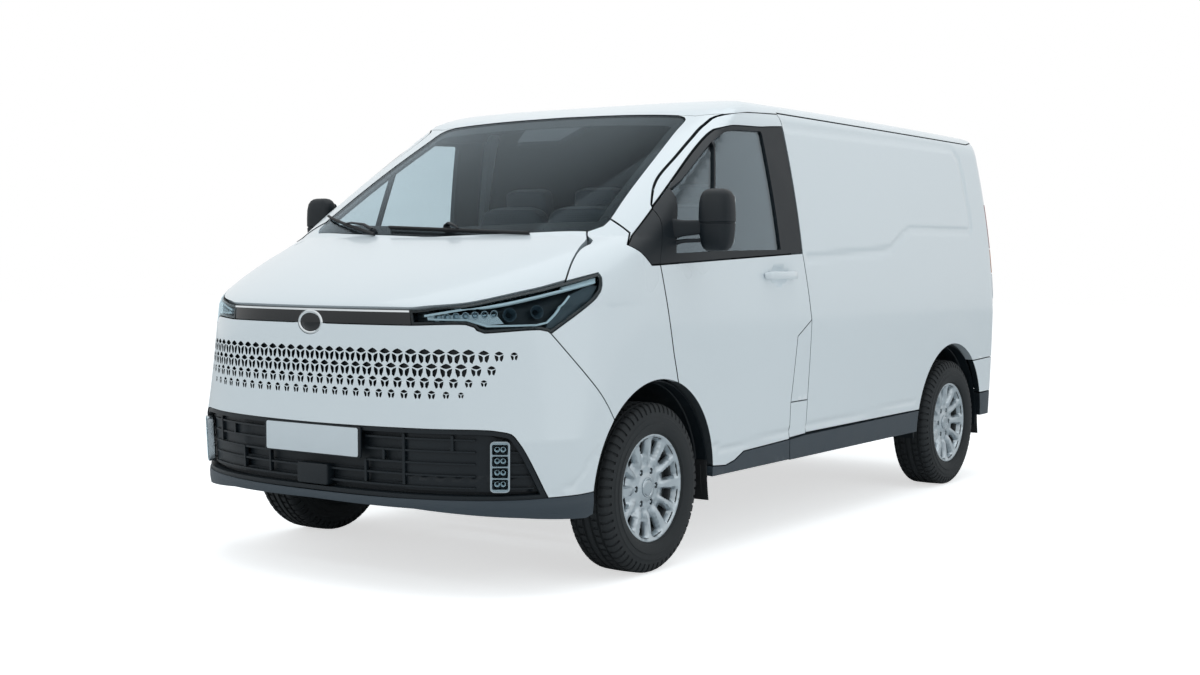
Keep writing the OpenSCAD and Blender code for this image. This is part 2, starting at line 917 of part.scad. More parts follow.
module left_knuckle() { knuckle(); }
module right_knuckle() { mirror([0, 1, 0]) knuckle(); }

floor_pan();
left_side();
right_side();
sliding_door();
roof();
windscreen_frame();
windscreen();
bulkhead();
wings();
fascia();
lower_grille();
front_lip();
grille_bar();
headlamps();
fog_lamps();
dashboard();
steering_wheel();
seats();
sill_trims();
rear_bumper();
tail_lamps();
front_subframe();
drive_motor();
battery_pack();
rear_axle();
arch_liners();
left_front_door();
left_door_glass();
left_mirror();
right_front_door();
right_door_glass();
right_mirror();
left_rear_door();
right_rear_door();
bonnet();
left_knuckle();
right_knuckle();
at_wheel(front_axle_x, 1) tyre();  // front_left_tyre
at_wheel(front_axle_x, 1) wheel();  // front_left_wheel
at_wheel(front_axle_x, -1) tyre();  // front_right_tyre
at_wheel(front_axle_x, -1) wheel();  // front_right_wheel
at_wheel(rear_axle_x, 1) tyre();  // rear_left_tyre
at_wheel(rear_axle_x, 1) wheel();  // rear_left_wheel
at_wheel(rear_axle_x, -1) tyre();  // rear_right_tyre
at_wheel(rear_axle_x, -1) wheel();  // rear_right_wheel
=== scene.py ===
import math

import bmesh
import bpy
import numpy as np
from mathutils import Matrix, Vector


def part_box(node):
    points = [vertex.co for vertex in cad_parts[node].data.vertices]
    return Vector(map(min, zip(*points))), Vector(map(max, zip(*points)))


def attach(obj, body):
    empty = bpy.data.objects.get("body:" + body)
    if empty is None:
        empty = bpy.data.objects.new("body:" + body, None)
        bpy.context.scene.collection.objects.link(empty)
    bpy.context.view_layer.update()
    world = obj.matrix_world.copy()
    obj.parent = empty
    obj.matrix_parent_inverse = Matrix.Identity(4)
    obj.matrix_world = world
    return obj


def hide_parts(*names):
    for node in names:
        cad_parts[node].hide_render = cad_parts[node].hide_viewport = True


bl_info = {
    "name": "Panel Van",
    "version": (1, 0, 0),
    "blender": (4, 5, 0),
    "location": "3D View > Sidebar > Panel Van",
    "description": "Body panels, trim, glass, wheels and cab of a mid-size panel van",
    "category": "Add Mesh",
}

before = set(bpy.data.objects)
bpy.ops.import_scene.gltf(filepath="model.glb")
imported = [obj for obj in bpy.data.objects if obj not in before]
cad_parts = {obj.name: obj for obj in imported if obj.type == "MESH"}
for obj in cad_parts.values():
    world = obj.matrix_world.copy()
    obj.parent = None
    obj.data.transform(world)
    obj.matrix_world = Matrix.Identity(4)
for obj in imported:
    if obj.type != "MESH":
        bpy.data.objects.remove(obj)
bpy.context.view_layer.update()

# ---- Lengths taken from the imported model, in millimetres ---------------

MM = 0.001


def edge(node, end, axis):
    """Where the box of a CAD node ends, in millimetres."""
    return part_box(node)[end][axis] / MM


def in_mm(length):
    """A setting's length, which is held in metres, in millimetres."""
    return round(length / MM, 3)


NOSE = round(edge("fascia", 1, 0))
HALF = round(edge("left_side", 1, 1))
TOP = round(edge("roof", 1, 2))
REAR = round(edge("left_rear_door", 0, 0))
TAIL = round(edge("rear_bumper", 0, 0))
FRONT_AXLE = (edge("front_left_tyre", 0, 0) + edge("front_left_tyre", 1, 0)) / 2
REAR_AXLE = (edge("rear_left_tyre", 0, 0) + edge("rear_left_tyre", 1, 0)) / 2
WHEEL_R = edge("front_left_tyre", 1, 2) / 2
WHEEL_Y = (edge("front_left_tyre", 0, 1) + edge("front_left_tyre", 1, 1)) / 2
TYRE_W = edge("front_left_tyre", 1, 1) - edge("front_left_tyre", 0, 1)
FLOOR_Z = edge("floor_pan", 1, 2)

# The middle of the rear arches, a little ahead of their wheels, and every arch's radius
REAR_ARCH = REAR_AXLE + 30
ARCH_R = WHEEL_R + 93

# Heights and places where the front's slope changes: the bonnet's front edge, the
# foot and the top of the windscreen, and the roof's highest point
EDGE_Z = 1081.0
COWL_X, COWL_Z = NOSE - 706.0, 1352.0
HEAD_X, HEAD_Z = NOSE - 1665.0, TOP - 75.0
PEAK_X = NOSE - 2090.0

# The side is widest at the waist; it leans in by TUMBLE up to the roof and by TUCK
# down to the ground
WAIST, TUMBLE, TUCK = 950.0, 135.0, 41.0

# How far the nose and the screen bow forwards, and how far the rear leans in
NOSE_BOW, NOSE_BOW_Z, SCREEN_BOW, REAR_LEAN = 24.0, 850.0, 96.0, 48.0

# How far the front's curve in plan reaches back: at the nose, whose plan is the same
# below NOSE_Z, at the bonnet's front edge, at the cowl and over the windscreen
NOSE_Z = 600.0
NOSE_SWEEP, EDGE_SWEEP, COWL_SWEEP, HEAD_SWEEP = 540.0, 900.0, 300.0, 120.0

# The roof falls by CROWN_BACK to the rear and by CROWN_SIDE to either side
CROWN_BACK, CROWN_SIDE, CROWN_HALF = 32.0, 26.0, 865.0

# Radii from roof to side and from side to rear, and the softness of the edge between
# the outline in plan and the section across
SHOULDER, CORNER, SOFT = 110.0, 140.0, 24.0

# The joint between roof and sides, and how far a panel lies under the skin
ROOF_LINE = TOP - 64.0
SINK = 1.0

# ---- The skin: a depth under the body's surface, in millimetres --------


def share(z, a, b):
    """How far z is from a to b, held between 0 and 1."""
    return np.clip((z - a) / (b - a), 0, 1)


def mix(a, b, t):
    """The value a share t of the way from a to b."""
    return a + (b - a) * t


def half_width(z):
    """Half the body's width at height z."""
    return (HALF - TUCK * (np.maximum(0, WAIST - z) / WAIST) ** 1.4
            - TUMBLE * (np.maximum(0, z - WAIST) / (TOP - WAIST)) ** 1.8)


def front_line(z):
    """The front's X on the middle line at height z: nose, bonnet, screen, roof."""
    s = share(z, COWL_Z, HEAD_Z)
    return np.select(
        [z <= EDGE_Z, z <= COWL_Z, z <= HEAD_Z],
        [NOSE - NOSE_BOW * ((z - NOSE_BOW_Z) / NOSE_BOW_Z) ** 2,
         mix(NOSE - 2, COWL_X, share(z, EDGE_Z, COWL_Z) ** 1.25),
         mix(COWL_X, HEAD_X, s) + SCREEN_BOW * s * (1 - s)],
        PEAK_X + (HEAD_X - PEAK_X) * np.sqrt(share(z, TOP, HEAD_Z)))


def back_line(z):
    """The rear's X at height z."""
    return REAR + REAR_LEAN * np.maximum(0, z - WAIST) / (TOP - WAIST)


def rounded(a, b, r):
    """The greater of two distances, with a corner of radius r between them."""
    p, q = np.maximum(a + r, 0), np.maximum(b + r, 0)
    return np.hypot(p, q) + np.minimum(np.maximum(a, b) + r, 0) - r


def depth(points):
    """Below 0 inside the body, above 0 outside it."""
    x, y, z = points[:, 0], np.abs(points[:, 1]), points[:, 2]
    w = half_width(z) + SOFT / 4
    nose, bonnet = share(z, NOSE_Z, EDGE_Z), share(z, EDGE_Z, COWL_Z)
    screen = share(z, COWL_Z, HEAD_Z)
    sweep = np.select(
        [z <= EDGE_Z, z <= COWL_Z],
        [mix(NOSE_SWEEP, EDGE_SWEEP, nose), mix(EDGE_SWEEP, COWL_SWEEP, bonnet)],
        mix(COWL_SWEEP, HEAD_SWEEP, screen))
    # The front is an oval in plan that grows squarer with height
    power = 2.6 + 0.4 * nose + 0.5 * bonnet + 0.5 * screen
    s = np.maximum((x - front_line(z) + sweep) / sweep, 0)
    t = np.maximum(y, 1e-3) / w
    e = np.sqrt(s * s + t ** power) + 1e-9
    slope = np.hypot(s / sweep, power / 2 * t ** (power - 1) / w) / e + 1e-7
    tail = rounded(y - w, back_line(z) - x, CORNER)
    plan = np.where(x < 0, tail, (e - 1) / slope)
    crest = TOP - CROWN_BACK * share(x, PEAK_X, TAIL) ** 2 - CROWN_SIDE * (y / CROWN_HALF) ** 2
    section = rounded((y - w) * 0.98, z - crest, SHOULDER)
    near = np.maximum(SOFT - np.abs(plan - section), 0)
    return np.maximum(plan, section) + near ** 2 / (4 * SOFT)


# Half the distance over which the skin's slope is measured, and how many times a
# search for the skin is repeated
PROBE = 0.4
HALVINGS = 24
SETTLINGS = 12


def outward(points):
    """The skin's normals at these points."""
    n = np.stack([depth(points + d) - depth(points - d) for d in np.eye(3) * PROBE], 1)
    return n / (np.linalg.norm(n, axis=1, keepdims=True) + 1e-12)


def shoot(start, end):
    """Where lines from outside the body to inside it cross the skin."""
    lo, hi = np.zeros(len(start)), np.ones(len(start))
    for _ in range(HALVINGS):
        half = (lo + hi) / 2
        inside = depth(start + (end - start) * half[:, None]) < 0
        hi, lo = np.where(inside, half, hi), np.where(inside, lo, half)
    return start + (end - start) * hi[:, None]


# ---- Ways to lay a piece flat: (flat from points, rays from flat) -------

# The rear corner is unrolled round this upright line, as if its radius were TURN
CORNER_X, CORNER_Y, TURN = REAR + 150.0, HALF - 280.0, 200.0

# The roof's edges are unrolled round lines at this Y and Z, with this radius
EAVES_Y, EAVES_Z, EAVES_TURN = 640.0, 1700.0, 290.0


def stack(*columns):
    """Columns side by side; a single number fills its column."""
    n = max(np.size(c) for c in columns)
    return np.stack([np.broadcast_to(np.asarray(c, float), (n,)) for c in columns], 1)


def side_flat(p):
    """Points of the side and the rear corner, unrolled."""
    x, y, z = p.T
    angle = np.arctan2(CORNER_X - x, y - CORNER_Y)
    return stack(np.where(x < CORNER_X, CORNER_X - TURN * angle, x), z)


def side_rays(uv):
    """Rays from outside the side to inside it."""
    u, v = uv.T
    angle = np.maximum(CORNER_X - u, 0) / TURN
    base = stack(np.maximum(u, CORNER_X), CORNER_Y, v)
    return base + 600 * stack(-np.sin(angle), np.cos(angle), 0), base


def around(x0, y0, scale):
    """Rays that leave an upright line."""
    def flat(p):
        return stack(scale * np.arctan2(p[:, 1] - y0, p[:, 0] - x0), p[:, 2])

    def rays(uv):
        a = uv[:, 0] / scale
        base = stack(x0, y0, uv[:, 1])
        return base + 1500 * stack(np.cos(a), np.sin(a), 0), base
    return flat, rays


def over(y0, z0, scale):
    """Rays that leave a line along the van."""
    def flat(p):
        return stack(p[:, 0], scale * np.arctan2(p[:, 2] - z0, p[:, 1] - y0))

    def rays(uv):
        a = uv[:, 1] / scale
        base = stack(uv[:, 0], y0, z0)
        return base + 1100 * stack(0, np.cos(a), np.sin(a)), base
    return flat, rays


def roof_flat(p):
    """Points of the roof, with both its edges unrolled."""
    x, y, z = p.T
    beyond = EAVES_TURN * np.arctan2(np.abs(y) - EAVES_Y, z - EAVES_Z)
    return stack(x, np.where(np.abs(y) > EAVES_Y, np.sign(y) * (EAVES_Y + beyond), y))


def roof_rays(uv):
    """Rays from above the roof to inside it."""
    x, v = uv.T
    a = np.maximum(np.abs(v) - EAVES_Y, 0) / EAVES_TURN
    base = stack(x, np.clip(v, -EAVES_Y, EAVES_Y), EAVES_Z)
    return base + 500 * stack(0, np.sign(v) * np.sin(a), np.cos(a)), base


def straight(axis, outside, inside):
    """Rays along one axis."""
    kept = [i for i in range(3) if i != axis]

    def flat(p):
        return p[:, kept].astype(float)

    def rays(uv):
        ends = []
        for level in (outside, inside):
            p = np.full((len(uv), 3), float(level))
            p[:, kept] = uv
            ends.append(p)
        return ends[0], ends[1]
    return flat, rays


SIDE = (side_flat, side_rays)
NOSE_WRAP = around(1300, 0, 1000)
WING = over(500, 900, 600)
PILLAR = over(300, 1250, 700)
ROOF = (roof_flat, roof_rays)
FRONT = straight(0, 2700, 100)
ABOVE = straight(2, 1900, 700)
BEHIND = straight(0, -2800, -1000)

# Distance between the points of an outline
POINT_STEP = 20.0


def dense(points, step=POINT_STEP, smooth=False):
    """A line of corners with points close together, as a curve if smooth."""
    p = np.array(points, float)
    rows = [p[:1]]
    for i in range(len(p) - 1):
        n = max(1, int(np.linalg.norm(p[i + 1] - p[i]) / step))
        t = (np.arange(1, n + 1) / n)[:, None]
        if smooth:
            a = p[i - 1] if i else 2 * p[i] - p[i + 1]
            d = p[i + 2] if i + 2 < len(p) else 2 * p[i + 1] - p[i]
            b, c = p[i], p[i + 1]
            rows.append(0.5 * (2 * b + (c - a) * t + (2 * a - 5 * b + 4 * c - d) * t * t
                               + (3 * b - a - 3 * c + d) * t ** 3))
        else:
            rows.append(mix(p[i], p[i + 1], t))
    return np.concatenate(rows)


def lay(lift, flat):
    """Points of a lift's flat, laid on the skin."""
    return shoot(*lift[1](np.asarray(flat, float)))


def line_on(lift, points):
    """A line given in a lift's flat, laid on the skin."""
    return lay(lift, dense(points))


def side_line(points):
    """A line in X and Z, laid on the side."""
    return line_on(SIDE, points)


def settle(points, smooth=False):
    """A line of points near the skin, moved onto it."""
    p = dense(points, smooth=smooth)
    for _ in range(SETTLINGS):
        n = outward(p)
        p = p - n * depth(p)[:, None] * 0.9
    return p


def mirrored(points):
    """The same points on the other side of the van."""
    return points * np.array([1, -1, 1])


def arc(x, angle_from, angle_to):
    """Part of a wheel arch's edge, in X and Z."""
    n = max(2, int(abs(angle_to - angle_from) / 3))
    a = np.radians(np.linspace(angle_from, angle_to, n + 1))
    return stack(x + ARCH_R * np.cos(a), WHEEL_R + ARCH_R * np.sin(a))


def join(*lines):
    """Lines joined into one closed outline without repeated points."""
    p = np.concatenate([np.asarray(l, float) for l in lines])
    apart = np.linalg.norm(p - np.roll(p, 1, 0), axis=1) > 1.5
    return p[apart]


def untangled(loop):
    """A flat outline without the small knots that drawing it in can leave."""
    for _ in range(20):
        n = len(loop)
        r = np.roll(loop, -1, 0) - loop
        d = loop[None] - loop[:, None]
        cross = r[:, None, 0] * r[None, :, 1] - r[:, None, 1] * r[None, :, 0]
        cross[np.abs(cross) < 1e-9] = np.inf
        t = (d[..., 0] * r[None, :, 1] - d[..., 1] * r[None, :, 0]) / cross
        u = (d[..., 0] * r[:, None, 1] - d[..., 1] * r[:, None, 0]) / cross
        i, j = np.where((t >= 0) & (t <= 1) & (u >= 0) & (u <= 1) & np.isfinite(cross))
        keep = (j - i > 1) & (j - i < n - 1)
        if not keep.any():
            return loop
        i, j = i[keep], j[keep]
        k = np.argmin(np.minimum(j - i, n - (j - i)))
        i, j = i[k], j[k]
        meet = loop[i] + r[i] * t[i, j]
        if j - i < n - (j - i):
            loop = np.concatenate([loop[:i + 1], [meet], loop[j + 1:]])
        else:
            loop = np.concatenate([[meet], loop[i + 1:j + 1]])
    return loop


def inset(loop, gap):
    """A flat outline drawn in by gap; a hole's outline grows by it."""
    if not gap:
        return loop
    before, after = loop - np.roll(loop, 1, 0), np.roll(loop, -1, 0) - loop
    area = np.sum(loop[:, 0] * np.roll(loop[:, 1], -1) - loop[:, 1] * np.roll(loop[:, 0], -1))
    turn = 1 if area > 0 else -1

    def side(d):
        d = d / (np.linalg.norm(d, axis=1, keepdims=True) + 1e-9)
        return np.stack([-d[:, 1], d[:, 0]], 1) * turn
    a, b = side(before), side(after)
    m = a + b
    m = m / np.maximum((m * m).sum(1, keepdims=True), 0.5) * 2
    return untangled(loop + m * gap)


# ---- Meshes -----------------------------------------------------------

# Size of a panel's mesh cells, and the sharpest bend that is still shaded smooth
STEP = 26.0
SHARP = 0.6


def fill_cells(bm, loops, step):
    """Fill the first flat outline less the others and cut it into cells."""
    edges = []
    for loop in loops:
        verts = [bm.verts.new((u, v, 0)) for u, v in loop]
        edges += [bm.edges.new(pair) for pair in zip(verts, verts[1:] + verts[:1])]
    bmesh.ops.triangle_fill(bm, use_beauty=False, use_dissolve=False, edges=edges)
    bmesh.ops.dissolve_limit(bm, angle_limit=0.02, verts=[], edges=bm.edges[:])
    everything = np.concatenate(loops)
    for axis in (0, 1):
        low, high = everything[:, axis].min(), everything[:, axis].max()
        n = max(1, round((high - low) / step))
        for k in range(1, n):
            point, normal = [0, 0, 0], [0, 0, 0]
            point[axis], normal[axis] = low + (high - low) * k / n, 1
            bmesh.ops.bisect_plane(
                bm, geom=bm.verts[:] + bm.edges[:] + bm.faces[:], dist=1e-4,
                plane_co=point, plane_no=normal)


def surface(lift, uv, sunk, relief):
    """Flat points laid under the skin by sunk and relief, and the skin's normals."""
    p = lay(lift, uv)
    n = outward(p)
    down = np.full(len(p), float(sunk))
    if relief:
        down = down + relief(p)
    return p - n * down[:, None], n


def flip(bm):
    """Moves a bmesh to the other side of the van."""
    for v in bm.verts:
        v.co.y = -v.co.y


def face_out(bm):
    """Turns every face of a closed bmesh outward."""
    bmesh.ops.recalc_face_normals(bm, faces=bm.faces)
    if bm.calc_volume(signed=True) < 0:
        bmesh.ops.reverse_faces(bm, faces=bm.faces)


def build(name, bm, finish):
    """An object from a bmesh in millimetres, with a list of finishes."""
    bmesh.ops.transform(bm, matrix=Matrix.Scale(MM, 4), verts=bm.verts)
    mesh = bpy.data.meshes.new(name)
    bm.to_mesh(mesh)
    bm.free()
    obj = bpy.data.objects.new(name, mesh)
    bpy.context.scene.collection.objects.link(obj)
    for each in finish:
        mesh.materials.append(MATERIALS[each])
    return obj


def numbers(rows, field):
    """One whole-number field of a mesh's rows."""
    values = np.zeros(len(rows), np.int32)
    rows.foreach_get(field, values)
    return values


def enter(obj, body, nodes, slot):
    """Says which body a piece rides on and which CAD nodes it replaces; its slot is not used."""
    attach(obj, body)
    if nodes:
        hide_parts(*nodes)


def panel(name, outline, lift, finish, thick, body, nodes=(), slot=None, holes=(),
          gap=3.5, step=STEP, sunk=SINK, relief=None, side=1, hole_gap=0.0):
    """A piece of the skin inside an outline, with a thickness. Its visible face takes
    the first finish, its inner face and edges the last."""
    loops = [inset(lift[0](join(outline)), gap)]
    loops += [inset(lift[0](h), -hole_gap) for h in holes]
    bm = bmesh.new()
    fill_cells(bm, loops, step)
    uv = np.array([v.co[:2] for v in bm.verts])
    outer, normal = surface(lift, uv, sunk, relief)
    shade = normal
    if relief:
        du, dv = (surface(lift, uv + way, sunk, relief)[0]
                  - surface(lift, uv - way, sunk, relief)[0] for way in np.eye(2))
        shade = np.cross(du, dv)
        shade /= np.linalg.norm(shade, axis=1, keepdims=True) + 1e-12
        shade *= np.sign((shade * normal).sum(1))[:, None]
    inner = outer - normal * thick
    row = bm.verts.layers.int.new("row")
    front = bm.faces.layers.int.new("front")
    for i, v in enumerate(bm.verts):
        v.co = outer[i]
        v[row] = i
    bmesh.ops.recalc_face_normals(bm, faces=bm.faces)
    faces = bm.faces[:]
    new = bmesh.ops.extrude_face_region(bm, geom=faces, use_keep_orig=True)["geom"]
    for g in new:
        if isinstance(g, bmesh.types.BMVert):
            g.co = inner[g[row]]
    back = set(g for g in new if isinstance(g, bmesh.types.BMFace))
    outer_faces = set(faces)
    last = len(finish) - 1
    for f in bm.faces:
        f.smooth = True
        f[front] = 1 if f in outer_faces else 0
        f.material_index = 0 if f in outer_faces else last
    for e in bm.edges:
        kinds = set(0 if f in outer_faces else 1 if f in back else 2 for f in e.link_faces)
        if len(kinds) > 1 or (kinds == {2} and e.calc_face_angle(0) > SHARP):
            e.smooth = False
    if side < 0:
        flip(bm)
        shade = mirrored(shade)
    face_out(bm)
    obj = build(name, bm, finish)
    mesh = obj.data
    shown = np.repeat(numbers(mesh.attributes["front"].data, "value"),
                      numbers(mesh.polygons, "loop_total")).astype(bool)
    rows = numbers(mesh.attributes["row"].data, "value")
    corner = numbers(mesh.loops, "vertex_index")
    # The skin's own normals on the visible face, the mesh's own (0) elsewhere
    normals = np.where(shown[:, None], shade[rows[corner]], 0)
    mesh.normals_split_custom_set(normals.tolist())
    for name in ("front", "row"):
        mesh.attributes.remove(mesh.attributes[name])
    enter(obj, body, nodes, slot)


# ---- Finishes ---------------------------------------------------------

MATERIALS = {}

# How far gloss drifts from patch to patch
ROUGH_VARY = 0.06

# The colour that glass reflects, and how far and over what length its tint drifts
REFLECTION, CLEAR_VARY, CLEAR_PATCH = "#d3e0e8", 0.03, 400


def linear(text):
    """An sRGB hex colour as linear RGBA."""
    rgb = [int(text[i:i + 2], 16) / 255 for i in (1, 3, 5)]
    return [c / 12.92 if c <= 0.04045 else ((c + 0.055) / 1.055) ** 2.4 for c in rgb] + [1.0]


def add(tree, kind, settings=(), links=()):
    """Adds a node with its settings and its inputs' links."""
    node = tree.nodes.new(kind)
    for name, value in dict(settings).items():
        if isinstance(name, int) or name in node.inputs:
            node.inputs[name].default_value = value
        else:
            setattr(node, name, value)
    for socket, source in dict(links).items():
        tree.links.new(source, node.inputs[socket])
    return node


def new_material(name):
    """Starts a material: its empty node tree and the point that its patterns read."""
    material = bpy.data.materials.new(name)
    material.use_nodes = True
    tree = material.node_tree
    tree.nodes.clear()
    MATERIALS[name] = material
    return tree, add(tree, "ShaderNodeTexCoord").outputs["Object"]


def patchy(tree, place, colour, vary, patch, **settings):
    """A colour that drifts a little from patch to patch, and the cloud it follows."""
    base = linear(colour)[:3]
    cloud = add(tree, "ShaderNodeTexNoise", {"Scale": per_metre(patch), **settings},
                {"Vector": place}).outputs[0]
    tint = add(tree, "ShaderNodeMix", {
        "data_type": "RGBA", 6: [c * (1 - vary) for c in base] + [1],
        7: [min(1, c * (1 + vary)) for c in base] + [1]}, {"Factor": cloud})
    return tint.outputs[2], cloud


def per_metre(length):
    """A pattern's scale from the length of one repeat in millimetres."""
    return 1000 / length


def finish(name, colour, rough, grain, bump, vary, patch, texture="ShaderNodeTexNoise",
           **sockets):
    """A finish whose colour and gloss vary in patches and whose surface has a grain;
    grain and patch are in millimetres."""
    tree, place = new_material(name)
    tint, cloud = patchy(tree, place, colour, vary, patch, Detail=3.0)
    fine = add(tree, texture, {"Scale": per_metre(grain)}, {"Vector": place})
    gloss = add(tree, "ShaderNodeMapRange", {
        "To Min": max(0.0, rough - ROUGH_VARY), "To Max": min(1.0, rough + ROUGH_VARY)},
        {"Value": cloud})
    dents = add(tree, "ShaderNodeBump", {"Strength": bump, "Distance": grain * MM},
                {"Height": fine.outputs[0]})
    shader = add(tree, "ShaderNodeBsdfPrincipled", sockets, {
        "Base Color": tint, "Roughness": gloss.outputs[0], "Normal": dents.outputs[0]})
    add(tree, "ShaderNodeOutputMaterial", {}, {"Surface": shader.outputs[0]})


def clear_finish(name, colour, rough, shine, power):
    """Glass or a clear lens: a tint that lets light straight through and a reflection
    that grows towards grazing angles, the same from both sides of the pane."""
    tree, place = new_material(name)
    tint, _ = patchy(tree, place, colour, CLEAR_VARY, CLEAR_PATCH)
    through = add(tree, "ShaderNodeBsdfTransparent", {}, {"Color": tint})
    mirror = add(tree, "ShaderNodeBsdfGlossy", {
        "Color": linear(REFLECTION), "Roughness": rough})
    facing = add(tree, "ShaderNodeLayerWeight", {"Blend": 0.5}).outputs["Facing"]
    curve = add(tree, "ShaderNodeMath", {"operation": "POWER", 1: power}, {0: facing})
    part = add(tree, "ShaderNodeMath", {"operation": "MULTIPLY", 1: shine},
               {0: curve.outputs[0]})
    whole = add(tree, "ShaderNodeMixShader", {},
                {0: part.outputs[0], 1: through.outputs[0], 2: mirror.outputs[0]})
    add(tree, "ShaderNodeOutputMaterial", {}, {"Surface": whole.outputs[0]})


def woven_finish(name, dark, light, thread):
    """Plain-woven cloth: threads over and under, drawn coarser than the real 1 mm so
    that the weave shows, with a soft sheen."""
    tree, place = new_material(name)
    # A wave repeats 10 / pi times per unit of scale, and one repeat is two threads
    over_under = [add(tree, "ShaderNodeTexWave", {
        "bands_direction": way, "Scale": per_metre(thread) / 20 * math.pi,
        "Distortion": 0.4}, {"Vector": place}).outputs[1] for way in ("Y", "Z")]
    cross = add(tree, "ShaderNodeMath", {"operation": "MULTIPLY"},
                dict(enumerate(over_under))).outputs[0]
    tint = add(tree, "ShaderNodeMix", {
        "data_type": "RGBA", 6: linear(dark), 7: linear(light)}, {"Factor": cross})
    dents = add(tree, "ShaderNodeBump", {"Strength": 0.5, "Distance": 2 * MM},
                {"Height": cross})
    shader = add(tree, "ShaderNodeBsdfPrincipled", {
        "Roughness": 0.85, "Sheen Weight": 0.3, "Sheen Roughness": 0.5},
        {"Base Color": tint.outputs[2], "Normal": dents.outputs[0]})
    add(tree, "ShaderNodeOutputMaterial", {}, {"Surface": shader.outputs[0]})


def make_finishes(c):
    """Every material; the settings hold the colours that a user may change."""
    # Acrylic body enamel under clear lacquer: even, glossy, a faint orange peel
    finish("body_enamel", c.paint, 0.3, grain=7, bump=0.012, vary=0.012, patch=700,
           **{"Coat Weight": 0.35, "Coat Roughness": 0.08})
    # Grained polypropylene: matt, with a leather-like moulded grain
    finish("grained_polypropylene", c.trim, 0.58, grain=2.2, bump=0.25, vary=0.06, patch=180,
           texture="ShaderNodeTexVoronoi")
    # Moulded ABS, dark and half matt
    finish("moulded_abs", c.dark, 0.5, grain=1.6, bump=0.12, vary=0.08, patch=150,
           **{"Specular IOR Level": 0.3})
    # Gloss black acrylic over the light bar
    finish("gloss_acrylic", "#0d1317", 0.14, grain=8, bump=0.01, vary=0.05, patch=200)
    # Smoked acrylic over the lamp's outer block: grey, half gloss
    finish("smoked_acrylic", "#323f47", 0.35, grain=5, bump=0.04, vary=0.06, patch=60)
    # Ceramic frit baked on the glass edge: flat black
    finish("ceramic_frit", "#0c1114", 0.6, grain=3, bump=0.02, vary=0.05, patch=120,
           **{"Specular IOR Level": 0.2})
    # EPDM rubber of seals and wiper blades
    finish("epdm_rubber", "#15191c", 0.75, grain=1.5, bump=0.12, vary=0.08, patch=60)
    # Vulcanised tyre rubber: dull, slightly dusty, fine pits
    finish("tyre_rubber", "#1b2023", 0.8, grain=3, bump=0.14, vary=0.16, patch=90)
    # Wheel trims of silver-painted polycarbonate: fine metal flake
    finish("silver_paint", "#b2bcc2", 0.34, grain=1.2, bump=0.04, vary=0.05, patch=70,
           texture="ShaderNodeTexVoronoi", Metallic=0.75)
    # Chromed plastic
    finish("chromed_plastic", "#d9dfe2", 0.12, grain=6, bump=0.01, vary=0.03, patch=80,
           Metallic=1.0)
    # Silvered lamp reflector
    finish("lamp_reflector", "#a9b3b9", 0.22, grain=9, bump=0.05, vary=0.1, patch=40,
           Metallic=0.9)
    # Opal light guide: soft white acrylic
    finish("opal_acrylic", "#dfe8ec", 0.3, grain=4, bump=0.05, vary=0.04, patch=50)
    # Red and amber lamp acrylic with a fine prism pattern
    finish("red_acrylic", "#8f1216", 0.16, grain=6, bump=0.2, vary=0.12, patch=60,
           texture="ShaderNodeTexVoronoi", **{"Coat Weight": 0.6})
    finish("amber_acrylic", "#c8701c", 0.16, grain=6, bump=0.2, vary=0.12, patch=60,
           texture="ShaderNodeTexVoronoi", **{"Coat Weight": 0.6})
    # Primer-grey sheet steel inside the load space, satin with slight rolling marks
    finish("satin_sheet_steel", "#aab3b8", 0.5, grain=14, bump=0.03, vary=0.06, patch=260)
    # Galvanised floor steel: mottled spangle
    finish("galvanised_steel", "#7c858a", 0.45, grain=12, bump=0.06, vary=0.14, patch=60,
           texture="ShaderNodeTexVoronoi", Metallic=0.4)
    # Chassis paint: black, thick and slightly rough
    finish("chassis_paint", "#22272a", 0.6, grain=5, bump=0.16, vary=0.15, patch=70)
    # Sand-cast aluminium
    finish("cast_aluminium", "#9ba2a6", 0.52, grain=2.5, bump=0.2, vary=0.08, patch=50,
           Metallic=0.85)
    # Pressed aluminium plate, blank and satin
    finish("blank_plate", "#cdd6db", 0.38, grain=5, bump=0.02, vary=0.03, patch=90)
    # Needle felt on the bulkhead and under the roof: woolly and quite dull; its near-black tone
    # is partly the felt's own colour and partly painted shade for the shaded cab behind the
    # glass
    finish("needle_felt_painted_shade", "#172026", 0.92, grain=4, bump=0.08, vary=0.12, patch=90,
           **{"Specular IOR Level": 0.2, "Sheen Weight": 0.1})
    # Slush-moulded dashboard skin
    finish("dashboard_skin", "#262d32", 0.75, grain=2.4, bump=0.3, vary=0.07, patch=120,
           texture="ShaderNodeTexVoronoi")
    # Silvered mirror glass
    finish("silvered_glass", "#c9d2d7", 0.03, grain=50, bump=0.002, vary=0.02, patch=150,
           Metallic=1.0)
    # Laminated windscreen glass: almost colourless, mirror-like only at a low angle
    clear_finish("laminated_glass", c.glass, 0.02, shine=1.4, power=7)
    # Toughened side glass: a little greyer, with more reflection
    clear_finish("side_glass", c.side_glass, 0.02, shine=1.3, power=3)
    # Clear moulded polycarbonate: colourless, with a weak reflection
    clear_finish("polycarbonate_lens", "#eef4f6", 0.03, shine=0.3, power=4)
    # Plain-woven polyester: dark grey, two close shades of thread
    woven_finish("woven_polyester", "#30363c", "#3d454c", thread=5)


# ---- Outlines: distance behind the nose and height ---------------------


def behind(points):
    """Points given as distance behind the nose and height, in X and Z."""
    return [(NOSE - d, z) for d, z in points]


def curve(points, step):
    """Points behind the nose, joined by a smooth curve."""
    return [tuple(p) for p in dense(behind(points), step, True)]


def points_3d(rows):
    """Rows of distance behind the nose, Y and Z."""
    return [(NOSE - d, y, z) for d, y, z in rows]


